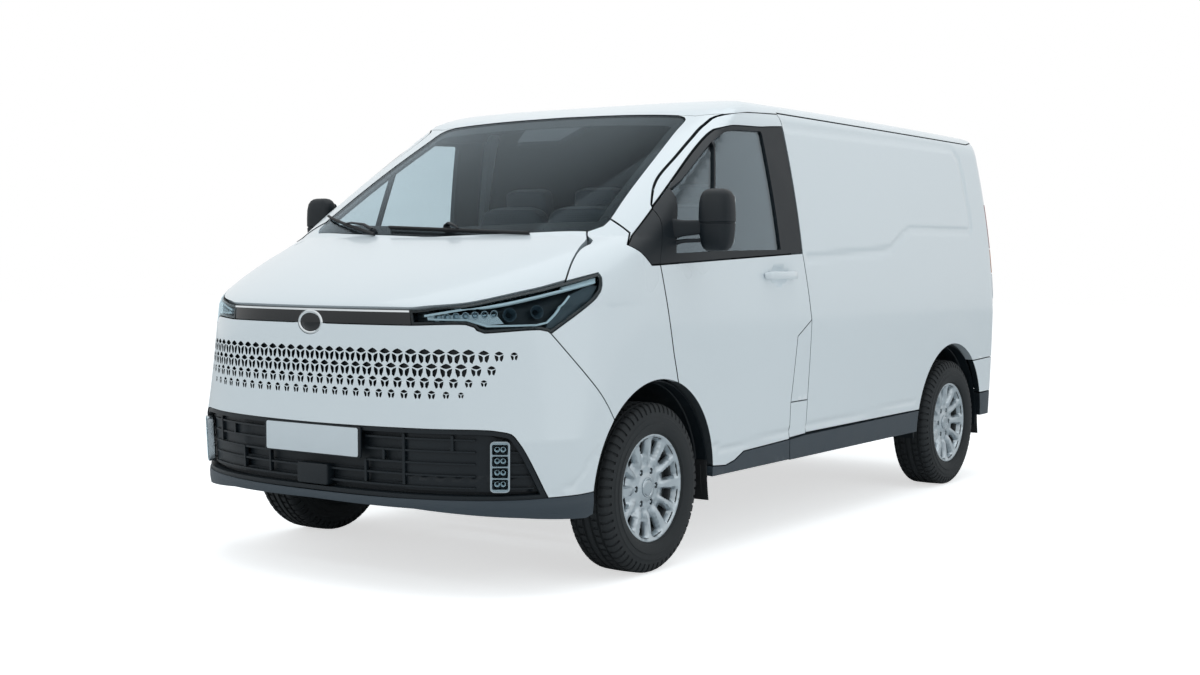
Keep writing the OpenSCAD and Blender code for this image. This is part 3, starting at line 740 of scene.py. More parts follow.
# The edges of a front door, its skirt and its window
DOOR_FRONT = behind([(969, 1238), (1053, 869), (1082, 777)])
DOOR_BACK = behind([(2064, 440), (2064, 602), (2111, 901), (2244, 972), (2180, 1281)])
SKIRT_DOOR = behind([(1384, 384), (1493, 375), (1570, 388), (1648, 420), (2064, 432)])
PILLAR_GAP = curve([
    (1027, 1466), (1038, 1481), (1107, 1542), (1192, 1604), (1337, 1694), (1469, 1774),
    (1588, 1843), (1690, 1890), (1851, 1908), (2138, 1920)], 25)
SAIL_GAP = behind([(969, 1240), (990, 1310), (1010, 1387), (1027, 1466)])
FRAME_LOW = curve([
    (1033, 1472), (1228, 1604), (1395, 1713), (1542, 1801), (1603, 1826), (1700, 1839),
    (1922, 1846), (2017, 1853), (2142, 1861)], 25)
MAIN_GLASS = behind([
    (1978, 1297), (1386, 1292), (1517, 1768), (1542, 1781), (1612, 1808), (1700, 1820),
    (1930, 1827), (1938, 1815)])
QUARTER_GLASS = behind([
    (1372, 1290), (1098, 1283), (1118, 1385), (1158, 1550), (1228, 1588), (1395, 1695),
    (1503, 1762)])
GLASS_EDGE = behind([
    (2000, 1284), (1080, 1265), (1075, 1440), (1125, 1562), (1228, 1598), (1395, 1706),
    (1542, 1793), (1603, 1816), (1700, 1828), (1960, 1836)])

# Degrees round the front arch, from ahead over the top, where skirt meets door, door
# meets wing, wing meets fascia and fascia meets lip
ARCH_LOW, ARCH_DOOR, ARCH_WING, ARCH_LIP = 174.6, 108.7, 43.9, 5.2

# The same round the rear arch, where bumper meets side and side meets sill
REAR_ARCH_BUMPER, REAR_ARCH_SILL = 131.2, 13.9

# The seams of the nose, the lamps, the bonnet and the windscreen on the left
WING_SEAM = points_3d([(635, 987, 646), (371, 882, 985)])
LAMP_OUTER = points_3d([(371, 882, 985), (572, 948, 1115), (622, 936, 1190), (620, 922, 1208)])
LAMP_TOP = points_3d([(620, 922, 1208), (482, 868, 1176), (350, 803, 1146), (164, 664, 1101),
                      (61, 501, 1076), (47, 466, 1075)])
LAMP_LOW = points_3d([(53, 474, 1017), (141, 664, 1021), (160, 700, 1000), (177, 722, 990),
                      (336, 858, 1000), (371, 882, 985)])
BONNET_SIDE = points_3d([(482, 868, 1180), (589, 826, 1260), (743, 772, 1337), (799, 742, 1372)])
BONNET_FRONT = points_3d([(482, 868, 1180), (350, 803, 1149), (164, 664, 1104), (66, 501, 1083),
                          (44, 451, 1081), (12, 240, 1081), (2, 0, 1081)])
COWL = points_3d([(705, 0, 1353), (738, 453, 1366), (799, 742, 1372)])
SCREEN_SIDE = points_3d([(849, 785, 1394), (893, 790, 1422), (1033, 771, 1518),
                         (1292, 741, 1682), (1494, 713, 1804), (1605, 698, 1867),
                         (1638, 640, 1890)])
SCREEN_TOP = points_3d([(1638, 640, 1890), (1652, 304, 1908), (1660, 0, 1912)])
PILLAR_SEAM = points_3d([(893, 790, 1422), (873, 899, 1364), (816, 926, 1318)])
GRILLE_TOP = points_3d([(8, 0, 632), (55, 514, 634), (181, 778, 629), (231, 843, 583),
                        (321, 905, 378)])
LIP_TOP = points_3d([(3, 0, 368), (55, 500, 370), (321, 905, 378), (513, 974, 383)])
LIP_LOW = points_3d([(5, 0, 338), (54, 483, 333), (245, 839, 306), (476, 964, 288)])
BAR_LOW = points_3d([(2, 0, 1017), (53, 474, 1017)])


def swell(p, x, z, r0, r1, height):
    """A ring round a point of the side that stands out by height."""
    r = np.hypot(p[:, 0] - x, p[:, 2] - z)
    s = share(r, r1, r0)
    return -height * s * s * (3 - 2 * s)


def ridge(p, line, width, height):
    """A pressed line: deep along the line, nothing a width away from it."""
    flat = p[:, [0, 2]]
    best = np.full(len(p), 1e9)
    line = np.array(line, float)
    for a, b in zip(line[:-1], line[1:]):
        d = b - a
        t = np.clip(((flat - a) @ d) / (d @ d), 0, 1)
        best = np.minimum(best, np.linalg.norm(flat - a - t[:, None] * d, axis=1))
    s = np.clip(1 - best / width, 0, 1)
    return height * s * s * (3 - 2 * s)


# Lines pressed into the side
GROOVE = curve([(2171, 1863), (4116, 1858), (4180, 1800), (4221, 1419), (4200, 1400),
                (3416, 1402), (3330, 1385), (3150, 1305), (3079, 1292), (2233, 1257)], 60)
NOSE_CREASE = [(1792, 542), (1858, 490), (1918, 417), (1990, 398)]
DOOR_CREASE = behind([(1390, 470), (1480, 446), (1700, 458), (2060, 470)])
SIDE_CREASE = behind([(2230, 476), (2900, 492), (3440, 500)])



# How deep and how wide a pressing is, and how far out an arch's flare stands
GROOVE_DEEP, GROOVE_WIDE, CREASE_WIDE, FLARE = 7, 34, 22, 3


def side_relief(p):
    """How far the pressings lie under the skin and the wheel arches' flares rise."""
    down = swell(p, FRONT_AXLE, WHEEL_R, ARCH_R + 40, ARCH_R + 190, FLARE)
    down = down + swell(p, REAR_ARCH, WHEEL_R, ARCH_R + 40, ARCH_R + 170, FLARE)
    down = down + ridge(p, GROOVE, GROOVE_WIDE, GROOVE_DEEP)
    for line in (DOOR_CREASE, SIDE_CREASE, NOSE_CREASE):
        down = down + ridge(p, line, CREASE_WIDE, GROOVE_DEEP)
    return down + FLARE


# The rear doors: half their width at the foot, how far their edge leans in to the top,
# and the heights of the foot and of the door
DOOR_HALF, DOOR_LEAN, DOOR_FOOT, DOOR_TALL = 840, 44, 690, 1172


def door_edges(z):
    """How far from the middle the edge of a rear door is at height z."""
    return DOOR_HALF - DOOR_LEAN * (z - DOOR_FOOT) / DOOR_TALL


def rear_edge(z0, z1, out=0.0):
    """The rear door's outer edge on the body, between two heights."""
    z = np.linspace(z0, z1, max(2, int(abs(z1 - z0) / 25)))
    return lay(BEHIND, stack(door_edges(z) + out, z))


def shrunk(outline, lift, gap):
    """An outline on the skin drawn in by gap."""
    return lay(lift, inset(lift[0](outline), gap))


def with_mirror(half):
    """An outline that runs along the left half from front to back of the middle,
    closed over the right half."""
    return join(half, mirrored(half)[::-1])


# ---- Pieces -----------------------------------------------------------

BODY = ("body", "body")
DOORS = ("left_door", "right_door")

# Finishes of sheet steel parts, outside and inside
SHEET = ["body_enamel", "satin_sheet_steel"]

# The gap beside the rear doors, and half the width of the roof's flat rear edge
DOOR_GAP, ROOF_REAR_HALF = 7, 803


def both(name, outline, lift, finishes, thick, bodies=BODY, nodes=((), ()), slot=None,
         holes=(), **more):
    """A piece on the left and its mirror image on the right."""
    for tag, side, body, taken in zip(("left", "right"), (1, -1), bodies, nodes):
        panel(f"{tag}_{name}", outline, lift, finishes, thick, body, taken, slot, holes,
              side=side, **more)


def roof_back():
    """The roof's rear edge, from the left side to the middle."""
    return settle([(REAR + 204, 857, ROOF_LINE - 28), (REAR + 124, 835, ROOF_LINE - 28),
                   (REAR + 74, 790, ROOF_LINE - 21), (REAR + 58, 700, ROOF_LINE),
                   (REAR + 56, 300, ROOF_LINE + 18), (REAR + 56, 0, ROOF_LINE + 22)])


def make_body_sides(s):
    """The sides with the sliding door, the posts, the sills and the roof."""
    back = roof_back()
    corner = back[back[:, 1] > ROOF_REAR_HALF]
    top = join(side_line([(NOSE - 2138, ROOF_LINE - 1), (REAR + 214, ROOF_LINE - 27)]), corner)
    lamp = settle([(REAR + 120, 944, 1532), (REAR + 96, 985, 1040)])
    arch = side_line(arc(REAR_ARCH, REAR_ARCH_BUMPER, REAR_ARCH_SILL))
    low = rear_edge(DOOR_FOOT, 1006, DOOR_GAP)[::-1]
    seam = line_on(SIDE, [side_flat(low[-1:])[0] + [0, -8], (REAR_ARCH - 290, 672)])
    outline = join(
        side_line([(NOSE - 2220, 448), (NOSE - 2224, 602), (NOSE - 2244, 972),
                   (NOSE - 2180, 1277)]),
        top, rear_edge(1880, 1564, DOOR_GAP), lamp, low, seam, arch,
        side_line([(REAR_ARCH + 424, 450)]))
    slide = side_line([(136, 1884), (113, 1277), (70, 972), (70, 464), (-1014, 464),
                       (-1014, 1874), (136, 1884)])
    panel("left_side_panel", outline, SIDE, SHEET, in_mm(s.wall), "body", ["left_side"], "paint",
          relief=side_relief, step=in_mm(s.step))
    panel("right_side_panel", outline, SIDE, SHEET, in_mm(s.wall), "body", ["right_side"],
          "paint", holes=[join(slide)], hole_gap=3.5, relief=side_relief,
          step=in_mm(s.step), side=-1)
    panel("sliding_door_panel", join(slide), SIDE, SHEET, in_mm(s.wall), "body",
          ["sliding_door"], "paint", relief=side_relief, step=in_mm(s.step), side=-1)
    both("post_panel", side_line(behind([
        (2244, 972), (2111, 901), (2064, 603), (2224, 603), (2244, 972)])), SIDE,
        SHEET, 40, relief=side_relief, gap=2)
    both("post_foot", side_line(behind([
        (2064, 601), (2064, 440), (2220, 446), (2224, 601), (2064, 601)])), SIDE,
        SHEET, 40, relief=side_relief, gap=1.5)
    skirt = join(side_line(behind([(2066, 430), (2222, 438)])),
                 side_line([(REAR_ARCH + 424, 446)]),
                 side_line(arc(REAR_ARCH, 13, -1)), side_line([(NOSE - 2074, 336)]))
    both("sill_skirt", skirt, SIDE, ["grained_polypropylene"], in_mm(s.wall), BODY,
         (("sill_trims",), ("sill_trims",)), "trim_plastic", gap=1)
    front = roof_front()
    roof = join(front, side_line([(NOSE - 2138, ROOF_LINE)]), side_line([
        (NOSE - 2200, ROOF_LINE - 1), (REAR + 214, ROOF_LINE - 27)]), back)
    # The roof's inner face is near-black felt, partly painted shade for the dark inside
    panel("roof_panel", with_mirror(roof), ROOF, ["body_enamel", "needle_felt_painted_shade"], 46,
          "body", ["roof"], "paint", gap=1, step=in_mm(s.step) * 1.6, relief=roof_relief)
    header = join(back[back[:, 1] <= ROOF_REAR_HALF])
    low_edge = line_on(BEHIND, [(0, 1872), (ROOF_REAR_HALF, 1872)])
    panel("rear_header", with_mirror(join(low_edge, header)), BEHIND, SHEET,
          in_mm(s.wall), "body", gap=1)


def roof_front():
    """The roof's front edge from the middle to the left, then over the door."""
    top = settle(SCREEN_TOP[::-1], True)
    joint = settle(points_3d([(1638, 640, 1890), (1640, 730, 1885), (1690, 841, 1890)]))
    gap = side_line(behind([(1690, 1890), (1851, 1908), (2138, 1920)]))
    return join(top, joint, gap)


def roof_relief(p):
    """Two long shallow channels that stiffen the roof."""
    down = np.zeros(len(p))
    along = share(p[:, 0], PEAK_X + 40, PEAK_X - 160) * share(p[:, 0], REAR + 120, REAR + 320)
    for y in (-430, 0, 430):
        down += 5 * along * np.clip(1 - np.abs(p[:, 1] - y) / 60, 0, 1) ** 2
    return down


def make_nose(s):
    """The wings, fascia, bonnet, pillars and the corners ahead of the mirrors."""
    seam = settle(WING_SEAM)
    outer = settle(LAMP_OUTER, True)
    top_tip = settle(points_3d([(620, 922, 1208), (482, 868, 1178)]))
    side = settle(BONNET_SIDE, True)
    to_glass = settle(points_3d([(799, 742, 1372), (849, 785, 1394), (893, 790, 1422)]))
    pillar = settle(PILLAR_SEAM)
    sail = side_line(behind([(816, 1318), (907, 1237), (969, 1238)]))
    wing = join(side_line(DOOR_FRONT), side_line(arc(FRONT_AXLE, ARCH_DOOR, ARCH_WING)),
                seam, outer, top_tip, side, to_glass, pillar, sail)
    both("wing_panel", wing, WING, SHEET, 30, BODY, (("wings",), ("wings",)), "paint",
         relief=side_relief, step=18)
    low = settle(LAMP_LOW, True)
    # Half an oval in the fascia's upper edge, round the bare oval of the light bar
    recess = settle(points_3d([(2, 62 * np.sin(a), 1019 - 45 * np.cos(a))
                               for a in np.linspace(0, math.pi / 2, 13)]))
    fascia = join(
        recess, settle(points_3d([(4, 90, 1017), (53, 474, 1017)])), low,
        settle(WING_SEAM[::-1]),
        side_line(arc(FRONT_AXLE, ARCH_WING, ARCH_LIP)),
        settle(points_3d([(513, 974, 384), (321, 905, 379)])), settle(GRILLE_TOP[::-1], True))
    # The fascia's back and the perforations' walls are dark plastic: partly the plastic's own
    # colour, partly painted shade inside the holes
    panel("fascia_panel", with_mirror(fascia), NOSE_WRAP, ["body_enamel", "moulded_abs"], 9,
          "body", ["fascia"], "paint", holes=petals(s), gap=2, step=22, relief=nose_relief)
    # A dark sheet behind the perforations, painted shade for the hollow behind them
    backing = line_on(NOSE_WRAP, [(-830, 700), (830, 700), (830, 950), (-830, 950),
                                  (-830, 700)])
    panel("petal_backing_painted_shade", backing, NOSE_WRAP, ["moulded_abs"], 4, "body", sunk=13, gap=0)
    front = settle(BONNET_FRONT[::-1], True)
    bonnet = join(front, settle(BONNET_SIDE, True), settle(COWL[::-1], True))
    panel("bonnet_panel", with_mirror(bonnet), ABOVE, SHEET, 26, "bonnet_lid", ["bonnet"],
          "paint", step=22, gap=3)
    glass_side = settle(SCREEN_SIDE, True)
    pillar_piece = join(
        settle(PILLAR_SEAM[::-1]), glass_side[glass_side[:, 2] > 1423],
        settle(points_3d([(1640, 730, 1885), (1690, 841, 1890)])),
        side_line([p for p in PILLAR_GAP[::-1] if p[0] > NOSE - 1690]),
        side_line(behind([(1020, 1461), (816, 1318)])))
    # The pillars' inner faces are near-black felt, partly painted shade for the dark cab
    both("pillar_panel", pillar_piece, PILLAR, ["body_enamel", "needle_felt_painted_shade"], 36, BODY,
         (("windscreen_frame",), ("windscreen_frame",)), "paint", gap=2, step=18)
    sail_piece = join(side_line(behind([(907, 1237), (816, 1318), (1022, 1461)])),
                      side_line(SAIL_GAP[::-1]), side_line(behind([(907, 1237)])))
    both("sail_corner", sail_piece, WING, ["moulded_abs"], 30, gap=2, sunk=2,
         relief=side_relief)


def nose_relief(p):
    """The fascia follows the wings' flares beside the wheels."""
    return side_relief(p) * share(np.abs(p[:, 1]), 840, 960)


PETALS = {
    "top": [(-21, 13), (-11, 21), (0, 26), (11, 21), (21, 13), (10, 7), (0, 5), (-10, 7)],
    "left": [(-22, 7), (-20, -10), (-13, -29), (-4, -22), (-3, -5), (-9, 2)],
}
PETALS["right"] = [(-u, v) for u, v in PETALS["left"]][::-1]

# Rows of perforations: height, size, how far out they reach and their shift in pitches
PETAL_ROWS = [(905, 1.0, 800, 0), (853, 0.94, 772, 0.5), (806, 0.76, 720, 0),
              (762, 0.62, 668, 0.5)]

# The smallest size at a row's end, and the length over which it grows to the full one
PETAL_LEAST, PETAL_FADE = 0.55, 360


def petals(s):
    """Outlines of the perforations, in rows that shrink downwards and outwards."""
    pitch = in_mm(s.petal_pitch)
    holes = []
    for z, size, reach, shift in PETAL_ROWS:
        n = int(reach / pitch) + 1
        for k in range(-n, n + 1):
            u0 = (k + shift) * pitch
            if abs(u0) > reach:
                continue
            fade = size * min(1.0, PETAL_LEAST + (reach - abs(u0)) / PETAL_FADE)
            for shape in PETALS.values():
                holes.append(lay(NOSE_WRAP, [(u0 + fade * u, z + fade * v)
                                             for u, v in shape]))
    return holes


def make_glass():
    """The windscreen with its frit and sensor cover, and the door windows."""
    side = settle(SCREEN_SIDE, True)
    low = settle(points_3d([(705, 0, 1355), (738, 453, 1368), (799, 742, 1375),
                            (849, 785, 1395)]), True)
    screen = with_mirror(join(low, side, settle(SCREEN_TOP, True)))
    panel("windscreen_glass", screen, FRONT, ["laminated_glass"], 5, "body", ["windscreen"],
          "glass", gap=3, sunk=3, step=40)
    panel("windscreen_frit", screen, FRONT, ["ceramic_frit"], 2, "body",
          holes=[shrunk(screen, FRONT, 44)], gap=4, sunk=9.5, step=40)
    patch = line_on(FRONT, [(-190, 1905), (190, 1905), (120, 1800), (-120, 1800), (-190, 1905)])
    panel("sensor_cover", patch, FRONT, ["moulded_abs"], 24, "body", gap=0, sunk=12, step=60)
    both("door_glass_pane", side_line(GLASS_EDGE + GLASS_EDGE[:1]), SIDE, ["side_glass"], 5,
         DOORS, (("left_door_glass",), ("right_door_glass",)), "glass", gap=0, sunk=12,
         step=40, relief=side_relief)


def make_doors(s):
    """The front doors: panels, skirts, window frames and trim."""
    coats = ["body_enamel", "dashboard_skin"]
    low = join(side_line(DOOR_FRONT), side_line(arc(FRONT_AXLE, ARCH_DOOR, ARCH_LOW)),
               side_line(SKIRT_DOOR), side_line(DOOR_BACK), side_line([DOOR_FRONT[0]]))
    both("door_panel", low, SIDE, coats, in_mm(s.wall), DOORS,
         (("left_front_door",), ("right_front_door",)), "paint",
         relief=door_relief, step=in_mm(s.step))
    skirt = join(side_line(SKIRT_DOOR), side_line(behind([(2070, 338), (1386, 338)])),
                 side_line(arc(FRONT_AXLE, 181, 175)))
    both("door_skirt", skirt, SIDE, ["grained_polypropylene"], in_mm(s.wall), DOORS, gap=2)
    frame_piece = join(side_line(PILLAR_GAP), side_line(FRAME_LOW[::-1]))
    both("door_frame", frame_piece, SIDE, coats, in_mm(s.wall) * 0.7, DOORS, gap=2.5,
         step=16, relief=side_relief)
    trim = join(side_line(SAIL_GAP), side_line(FRAME_LOW), side_line(behind([
        (2180, 1283)])), side_line(behind([(969, 1240)])))
    both("window_trim", trim, SIDE, ["moulded_abs"], 26, DOORS,
         holes=[join(side_line(MAIN_GLASS + MAIN_GLASS[:1])),
                join(side_line(QUARTER_GLASS + QUARTER_GLASS[:1]))],
         gap=1.5, sunk=3, step=40, relief=side_relief)


def door_relief(p):
    """The side's pressings and a bowl behind the handle."""
    r = np.hypot((p[:, 0] - (NOSE - 1938)) / 88, (p[:, 2] - 1181) / 46)
    return side_relief(p) + 17 * np.clip(1 - r * r, 0, 1)


def make_rear(s):
    """The rear doors, the tail lamps and the rear bumper."""
    door = join(line_on(BEHIND, [(3.5, 1862), (3.5, 693)]),
                line_on(BEHIND, [(3.5, 693), (839, 693)]),
                rear_edge(693, 1862), line_on(BEHIND, [(796, 1862), (3.5, 1862)]))
    both("rear_door_panel", door, BEHIND, SHEET, in_mm(s.wall),
         ("left_back_door", "right_back_door"), (("left_rear_door",), ("right_rear_door",)),
         "paint", gap=0, step=in_mm(s.step), relief=rear_relief)
    for tag, colour, z0, z1 in (("stop", "red_acrylic", 1302, 1557),
                                ("turn", "amber_acrylic", 1162, 1298),
                                ("reverse", "opal_acrylic", 1014, 1158)):
        x0, x1 = (REAR + 97 + 24 * (z - 1040) / 490 for z in (z0, z1))
        lens = join(rear_edge(z0, z1, 9), settle([(x1, 960, z1)]), settle([(x0, 980, z0)]))
        both(f"{tag}_lamp", lens, SIDE, [colour], 40, BODY, (("tail_lamps",), ("tail_lamps",)),
             "red_lens" if tag == "stop" else None, gap=2, sunk=1.5)
    rear_u = CORNER_X - TURN * (math.pi / 2 + 0.62)
    for name, low, high, coat in (("bumper_corner", 484, 677, "body_enamel"),
                                  ("bumper_foot", 349, 481, "grained_polypropylene")):
        a_low = 180 - math.degrees(math.asin((low - WHEEL_R) / ARCH_R))
        a_high = 180 - math.degrees(math.asin(min(0.99, (min(high, 670) - WHEEL_R) / ARCH_R)))
        piece = join(side_line(arc(REAR_ARCH, a_low, a_high)),
                     side_line([(REAR_ARCH - 300, high - 6), (CORNER_X, high), (rear_u, high)]),
                     side_line([(rear_u, low), (CORNER_X, low)]))
        both(name, piece, SIDE, [coat, "moulded_abs"], 30, BODY,
             (("rear_bumper",), ("rear_bumper",)), "paint", gap=1.5, relief=side_relief)
        wide = float(line_on(SIDE, [(rear_u, 500)])[0][1])
        middle = line_on(BEHIND, [(-wide, low), (wide, low), (wide, high), (-wide, high),
                                  (-wide, low)])
        panel(f"{name}_middle", join(middle), BEHIND, [coat, "moulded_abs"], 30, "body", gap=0)


def rear_relief(p):
    """A pressed field in each rear door."""
    y, z = np.abs(p[:, 1]), p[:, 2]
    field = share(y, 90, 130) * share(y, 760, 720) * share(z, 1180, 1220) * share(z, 1810, 1770)
    return 7 * field


def make_front_trim(s):
    """The lower grille, the lip and the light bar."""
    grille = with_mirror(join(settle(GRILLE_TOP, True),
                              settle(points_3d([(321, 905, 376), (3, 0, 370)]))))
    panel("grille_backing", grille, NOSE_WRAP, ["moulded_abs"], 6, "body", ["lower_grille"],
          "dark_plastic", sunk=46, gap=4, step=40)
    panel("grille_surround", grille, NOSE_WRAP, ["moulded_abs"], 40, "body", sunk=6, gap=1,
          holes=[shrunk(grille, NOSE_WRAP, 17)], step=60)
    field = [(-700, 622), (700, 622), (846, 560), (880, 400), (-880, 400), (-846, 560)]
    slots = [lay(NOSE_WRAP, dense([(-412, z), (412, z), (412, z + 36), (-412, z + 36)], 60))
             for z in (424, 470)]
    board = line_on(NOSE_WRAP, [*field, field[0]])
    panel("grille_board", board, NOSE_WRAP, ["moulded_abs"], 8, "body", sunk=30, gap=0,
          holes=slots, step=30, relief=board_relief)
    for k in range(s.slats):
        z = mix(414, 594, k / (s.slats - 1))
        reach = mix(862, 800, k / (s.slats - 1))
        # The upper slats leave room for the plate, and all of them for the fog lamps
        for tag, side, middle in (("left", 1, 20), ("right", -1, 0)):
            for u0, u1 in ((250 if z > 500 else middle, 668), (780, reach)):
                a, b = side * u0, side * u1
                bar = line_on(NOSE_WRAP, [(a, z - 4), (b, z - 3), (b, z + 3), (a, z + 4),
                                          (a, z - 4)])
                panel(f"grille_slat_{k}_{u0}_{tag}", bar, NOSE_WRAP, ["moulded_abs"], 14,
                      "body", sunk=20, gap=0, step=60)
    for k, (u, z0, z1) in enumerate((
            (-590, 510, 612), (-476, 552, 590), (-412, 420, 506), (412, 420, 612),
            (330, 510, 548), (-250, 420, 506), (250, 420, 506), (590, 552, 612))):
        bar = line_on(NOSE_WRAP, [(u - 5, z0), (u + 5, z0), (u + 5, z1), (u - 5, z1),
                                  (u - 5, z0)])
        panel(f"grille_rib_{k}", join(bar), NOSE_WRAP, ["moulded_abs"], 16, "body", sunk=18,
              gap=0, step=60)
    lip = with_mirror(join(settle(LIP_TOP), side_line(arc(FRONT_AXLE, 5, -6)),
                           settle(LIP_LOW[::-1])))
    panel("lip_panel", lip, NOSE_WRAP, ["grained_polypropylene"], 60, "body", ["front_lip"],
          "trim_plastic", gap=1, relief=lip_relief, step=22)
    bar = with_mirror(join(settle(points_3d([(3, 0, 1074), (50, 470, 1074)])),
                           settle(BAR_LOW[::-1])))
    panel("light_bar", bar, NOSE_WRAP, ["gloss_acrylic"], 30, "body", ["grille_bar"],
          "dark_plastic", gap=2, sunk=5, step=30)
    strip = with_mirror(join(settle(points_3d([(3, 0, 1072), (52, 466, 1072)])),
                             settle(points_3d([(53, 466, 1065), (3, 0, 1065)]))))
    panel("light_bar_strip", strip, NOSE_WRAP, ["chromed_plastic"], 6, "body", gap=0, sunk=1.5)


def lip_relief(p):
    """The lip stands out between its edges."""
    return -4.5 * share(p[:, 2], 300, 345) * share(p[:, 2], 372, 352)


def board_relief(p):
    """The board's middle sits deeper than its ends."""
    return 12 * share(np.abs(p[:, 1]), 430, 400)


# Soft lamps: place, what they face and size in metres
LAMPS = {
    "soft_top": ((0.5, 0.5, 6.5), (0, 0, 0), 7.0),
    "soft_front": ((7.5, -1.5, 3.6), (1.5, 0, 0.8), 4.0),
    "soft_side": ((1.5, 7.5, 3.2), (0, 0, 0.9), 5.0),
}
LAMP_TINT = (0.94, 0.975, 1.0)
FLOOR_HALF = 30000

# The camera's place in metres and its heading in degrees
CAMERA_AT = (6.729, 4.437, 1.298)
CAMERA_YAW, CAMERA_PITCH = -144.58, -3.15
CAMERA_SHIFT, CAMERA_REACH, SENSOR = 0.0113, 200, 36


def make_world(scene, ambient):
    """An even sky that is white where the camera, glass or metal sees it."""
    world = bpy.data.worlds.new("studio")
    scene.world = world
    world.use_nodes = True
    tree = world.node_tree
    tree.nodes.clear()
    path = add(tree, "ShaderNodeLightPath").outputs
    seen = add(tree, "ShaderNodeMath", {"operation": "MAXIMUM"}, {
        0: path["Is Camera Ray"], 1: path["Is Transmission Ray"]})
    white = add(tree, "ShaderNodeMath", {"operation": "MAXIMUM"}, {
        0: seen.outputs[0], 1: path["Is Glossy Ray"]})
    light = add(tree, "ShaderNodeBackground", {
        "Color": linear("#e9f1f5"), "Strength": ambient})
    backdrop = add(tree, "ShaderNodeBackground", {"Color": (1, 1, 1, 1), "Strength": 1.0})
    both_skies = add(tree, "ShaderNodeMixShader", {}, {
        0: white.outputs[0], 1: light.outputs[0], 2: backdrop.outputs[0]})
    add(tree, "ShaderNodeOutputWorld", {}, {"Surface": both_skies.outputs[0]})


def make_floor(glow):
    """A pale floor that keeps the van's shadow and is lifted to white for the camera."""
    bm = bmesh.new()
    bmesh.ops.create_grid(bm, x_segments=1, y_segments=1, size=FLOOR_HALF)
    # Matt floor paint: near white, barely uneven
    tree, place = new_material("matt_floor_paint")
    cloud = add(tree, "ShaderNodeTexNoise", {"Scale": 0.5}, {"Vector": place})
    shade = add(tree, "ShaderNodeMapRange", {"To Min": 0.9, "To Max": 0.94},
                {"Value": cloud.outputs[0]})
    paint = add(tree, "ShaderNodeBsdfDiffuse", {}, {"Color": shade.outputs[0]})
    lift = add(tree, "ShaderNodeEmission", {"Color": (1, 1, 1, 1), "Strength": glow})
    lifted = add(tree, "ShaderNodeAddShader", {}, {0: paint.outputs[0], 1: lift.outputs[0]})
    path = add(tree, "ShaderNodeLightPath")
    whole = add(tree, "ShaderNodeMixShader", {}, {
        0: path.outputs["Is Camera Ray"], 1: paint.outputs[0], 2: lifted.outputs[0]})
    add(tree, "ShaderNodeOutputMaterial", {}, {"Surface": whole.outputs[0]})
    build("studio_floor", bm, ["matt_floor_paint"])


def make_stage(s):
    """The floor, the sky, the lamps and the camera."""
    scene = bpy.context.scene
    scene.view_settings.view_transform = "Standard"
    make_world(scene, s.ambient)
    make_floor(s.floor_glow)
    for (name, (place, aim, size)), power in zip(
            LAMPS.items(), (s.top_light, s.front_light, s.side_light)):
        lamp = bpy.data.lights.new(name, "AREA")
        lamp.energy, lamp.size, lamp.color = power, size, LAMP_TINT
        obj = bpy.data.objects.new(name, lamp)
        scene.collection.objects.link(obj)
        obj.location = place
        look = Vector(aim) - Vector(place)
        obj.rotation_euler = look.to_track_quat("-Z", "Y").to_euler()
    camera = bpy.data.cameras.new("camera")
    camera.lens, camera.sensor_width = s.lens, SENSOR
    camera.shift_x, camera.clip_end = CAMERA_SHIFT, CAMERA_REACH
    obj = bpy.data.objects.new("camera", camera)
    scene.collection.objects.link(obj)
    obj.location = CAMERA_AT
    yaw, pitch = math.radians(CAMERA_YAW), math.radians(CAMERA_PITCH)
    look = Vector((math.cos(pitch) * math.cos(yaw), math.cos(pitch) * math.sin(yaw),
                   math.sin(pitch)))
    obj.rotation_euler = look.to_track_quat("-Z", "Y").to_euler()
    scene.camera = obj


# ---- Shapes that don't follow the skin -----------------------------------


def piece(name, bm, finish, body, nodes=(), slot=None, side=1, sharp=SHARP):
    """Shades a bmesh in millimetres smooth up to an angle and makes the object."""
    if side < 0:
        flip(bm)
    face_out(bm)
    for f in bm.faces:
        f.smooth = True
    for e in bm.edges:
        e.smooth = e.calc_face_angle(0) < sharp
    obj = build(name, bm, [finish])
    enter(obj, body, nodes, slot)
    return obj


def ring(centre, a, b, ra, rb, power=2.0, n=24):
    """Points of a rounded outline round a centre, in the plane of a and b."""
    out = []
    for k in range(n):
        c, s = math.cos(math.tau * k / n), math.sin(math.tau * k / n)
        u = math.copysign(abs(c) ** (2 / power), c) * ra
        v = math.copysign(abs(s) ** (2 / power), s) * rb
        out.append(Vector(centre) + Vector(a) * u + Vector(b) * v)
    return out


def loft(bm, rings, closed=False):
    """Skins a row of rings of equal length and caps its ends."""
    loops = []
    for points in rings:
        verts = bmesh.ops.create_circle(bm, cap_ends=False, segments=len(points), radius=1)
        for v, p in zip(verts["verts"], points):
            v.co = p
        loops.append(list({e for v in verts["verts"] for e in v.link_edges}))
    pairs = list(zip(loops, loops[1:] + loops[:1]))
    for a, b in pairs if closed else pairs[:-1]:
        bmesh.ops.bridge_loops(bm, edges=a + b)
    if not closed:
        bmesh.ops.holes_fill(bm, edges=loops[0] + loops[-1], sides=0)


def swept(bm, points, sizes, up=(0, 0, 1), power=2.0, n=16):
    """A bar along points; sizes are its half width and half height at each."""
    p = [Vector(v) for v in points]
    rings = []
    for i, c in enumerate(p):
        along = (p[min(i + 1, len(p) - 1)] - p[max(i - 1, 0)]).normalized()
        a = along.cross(Vector(up)).normalized()
        size = sizes[min(i, len(sizes) - 1)]
        rings.append(ring(c, a, a.cross(along), size[0], size[1], power, n))
    loft(bm, rings)


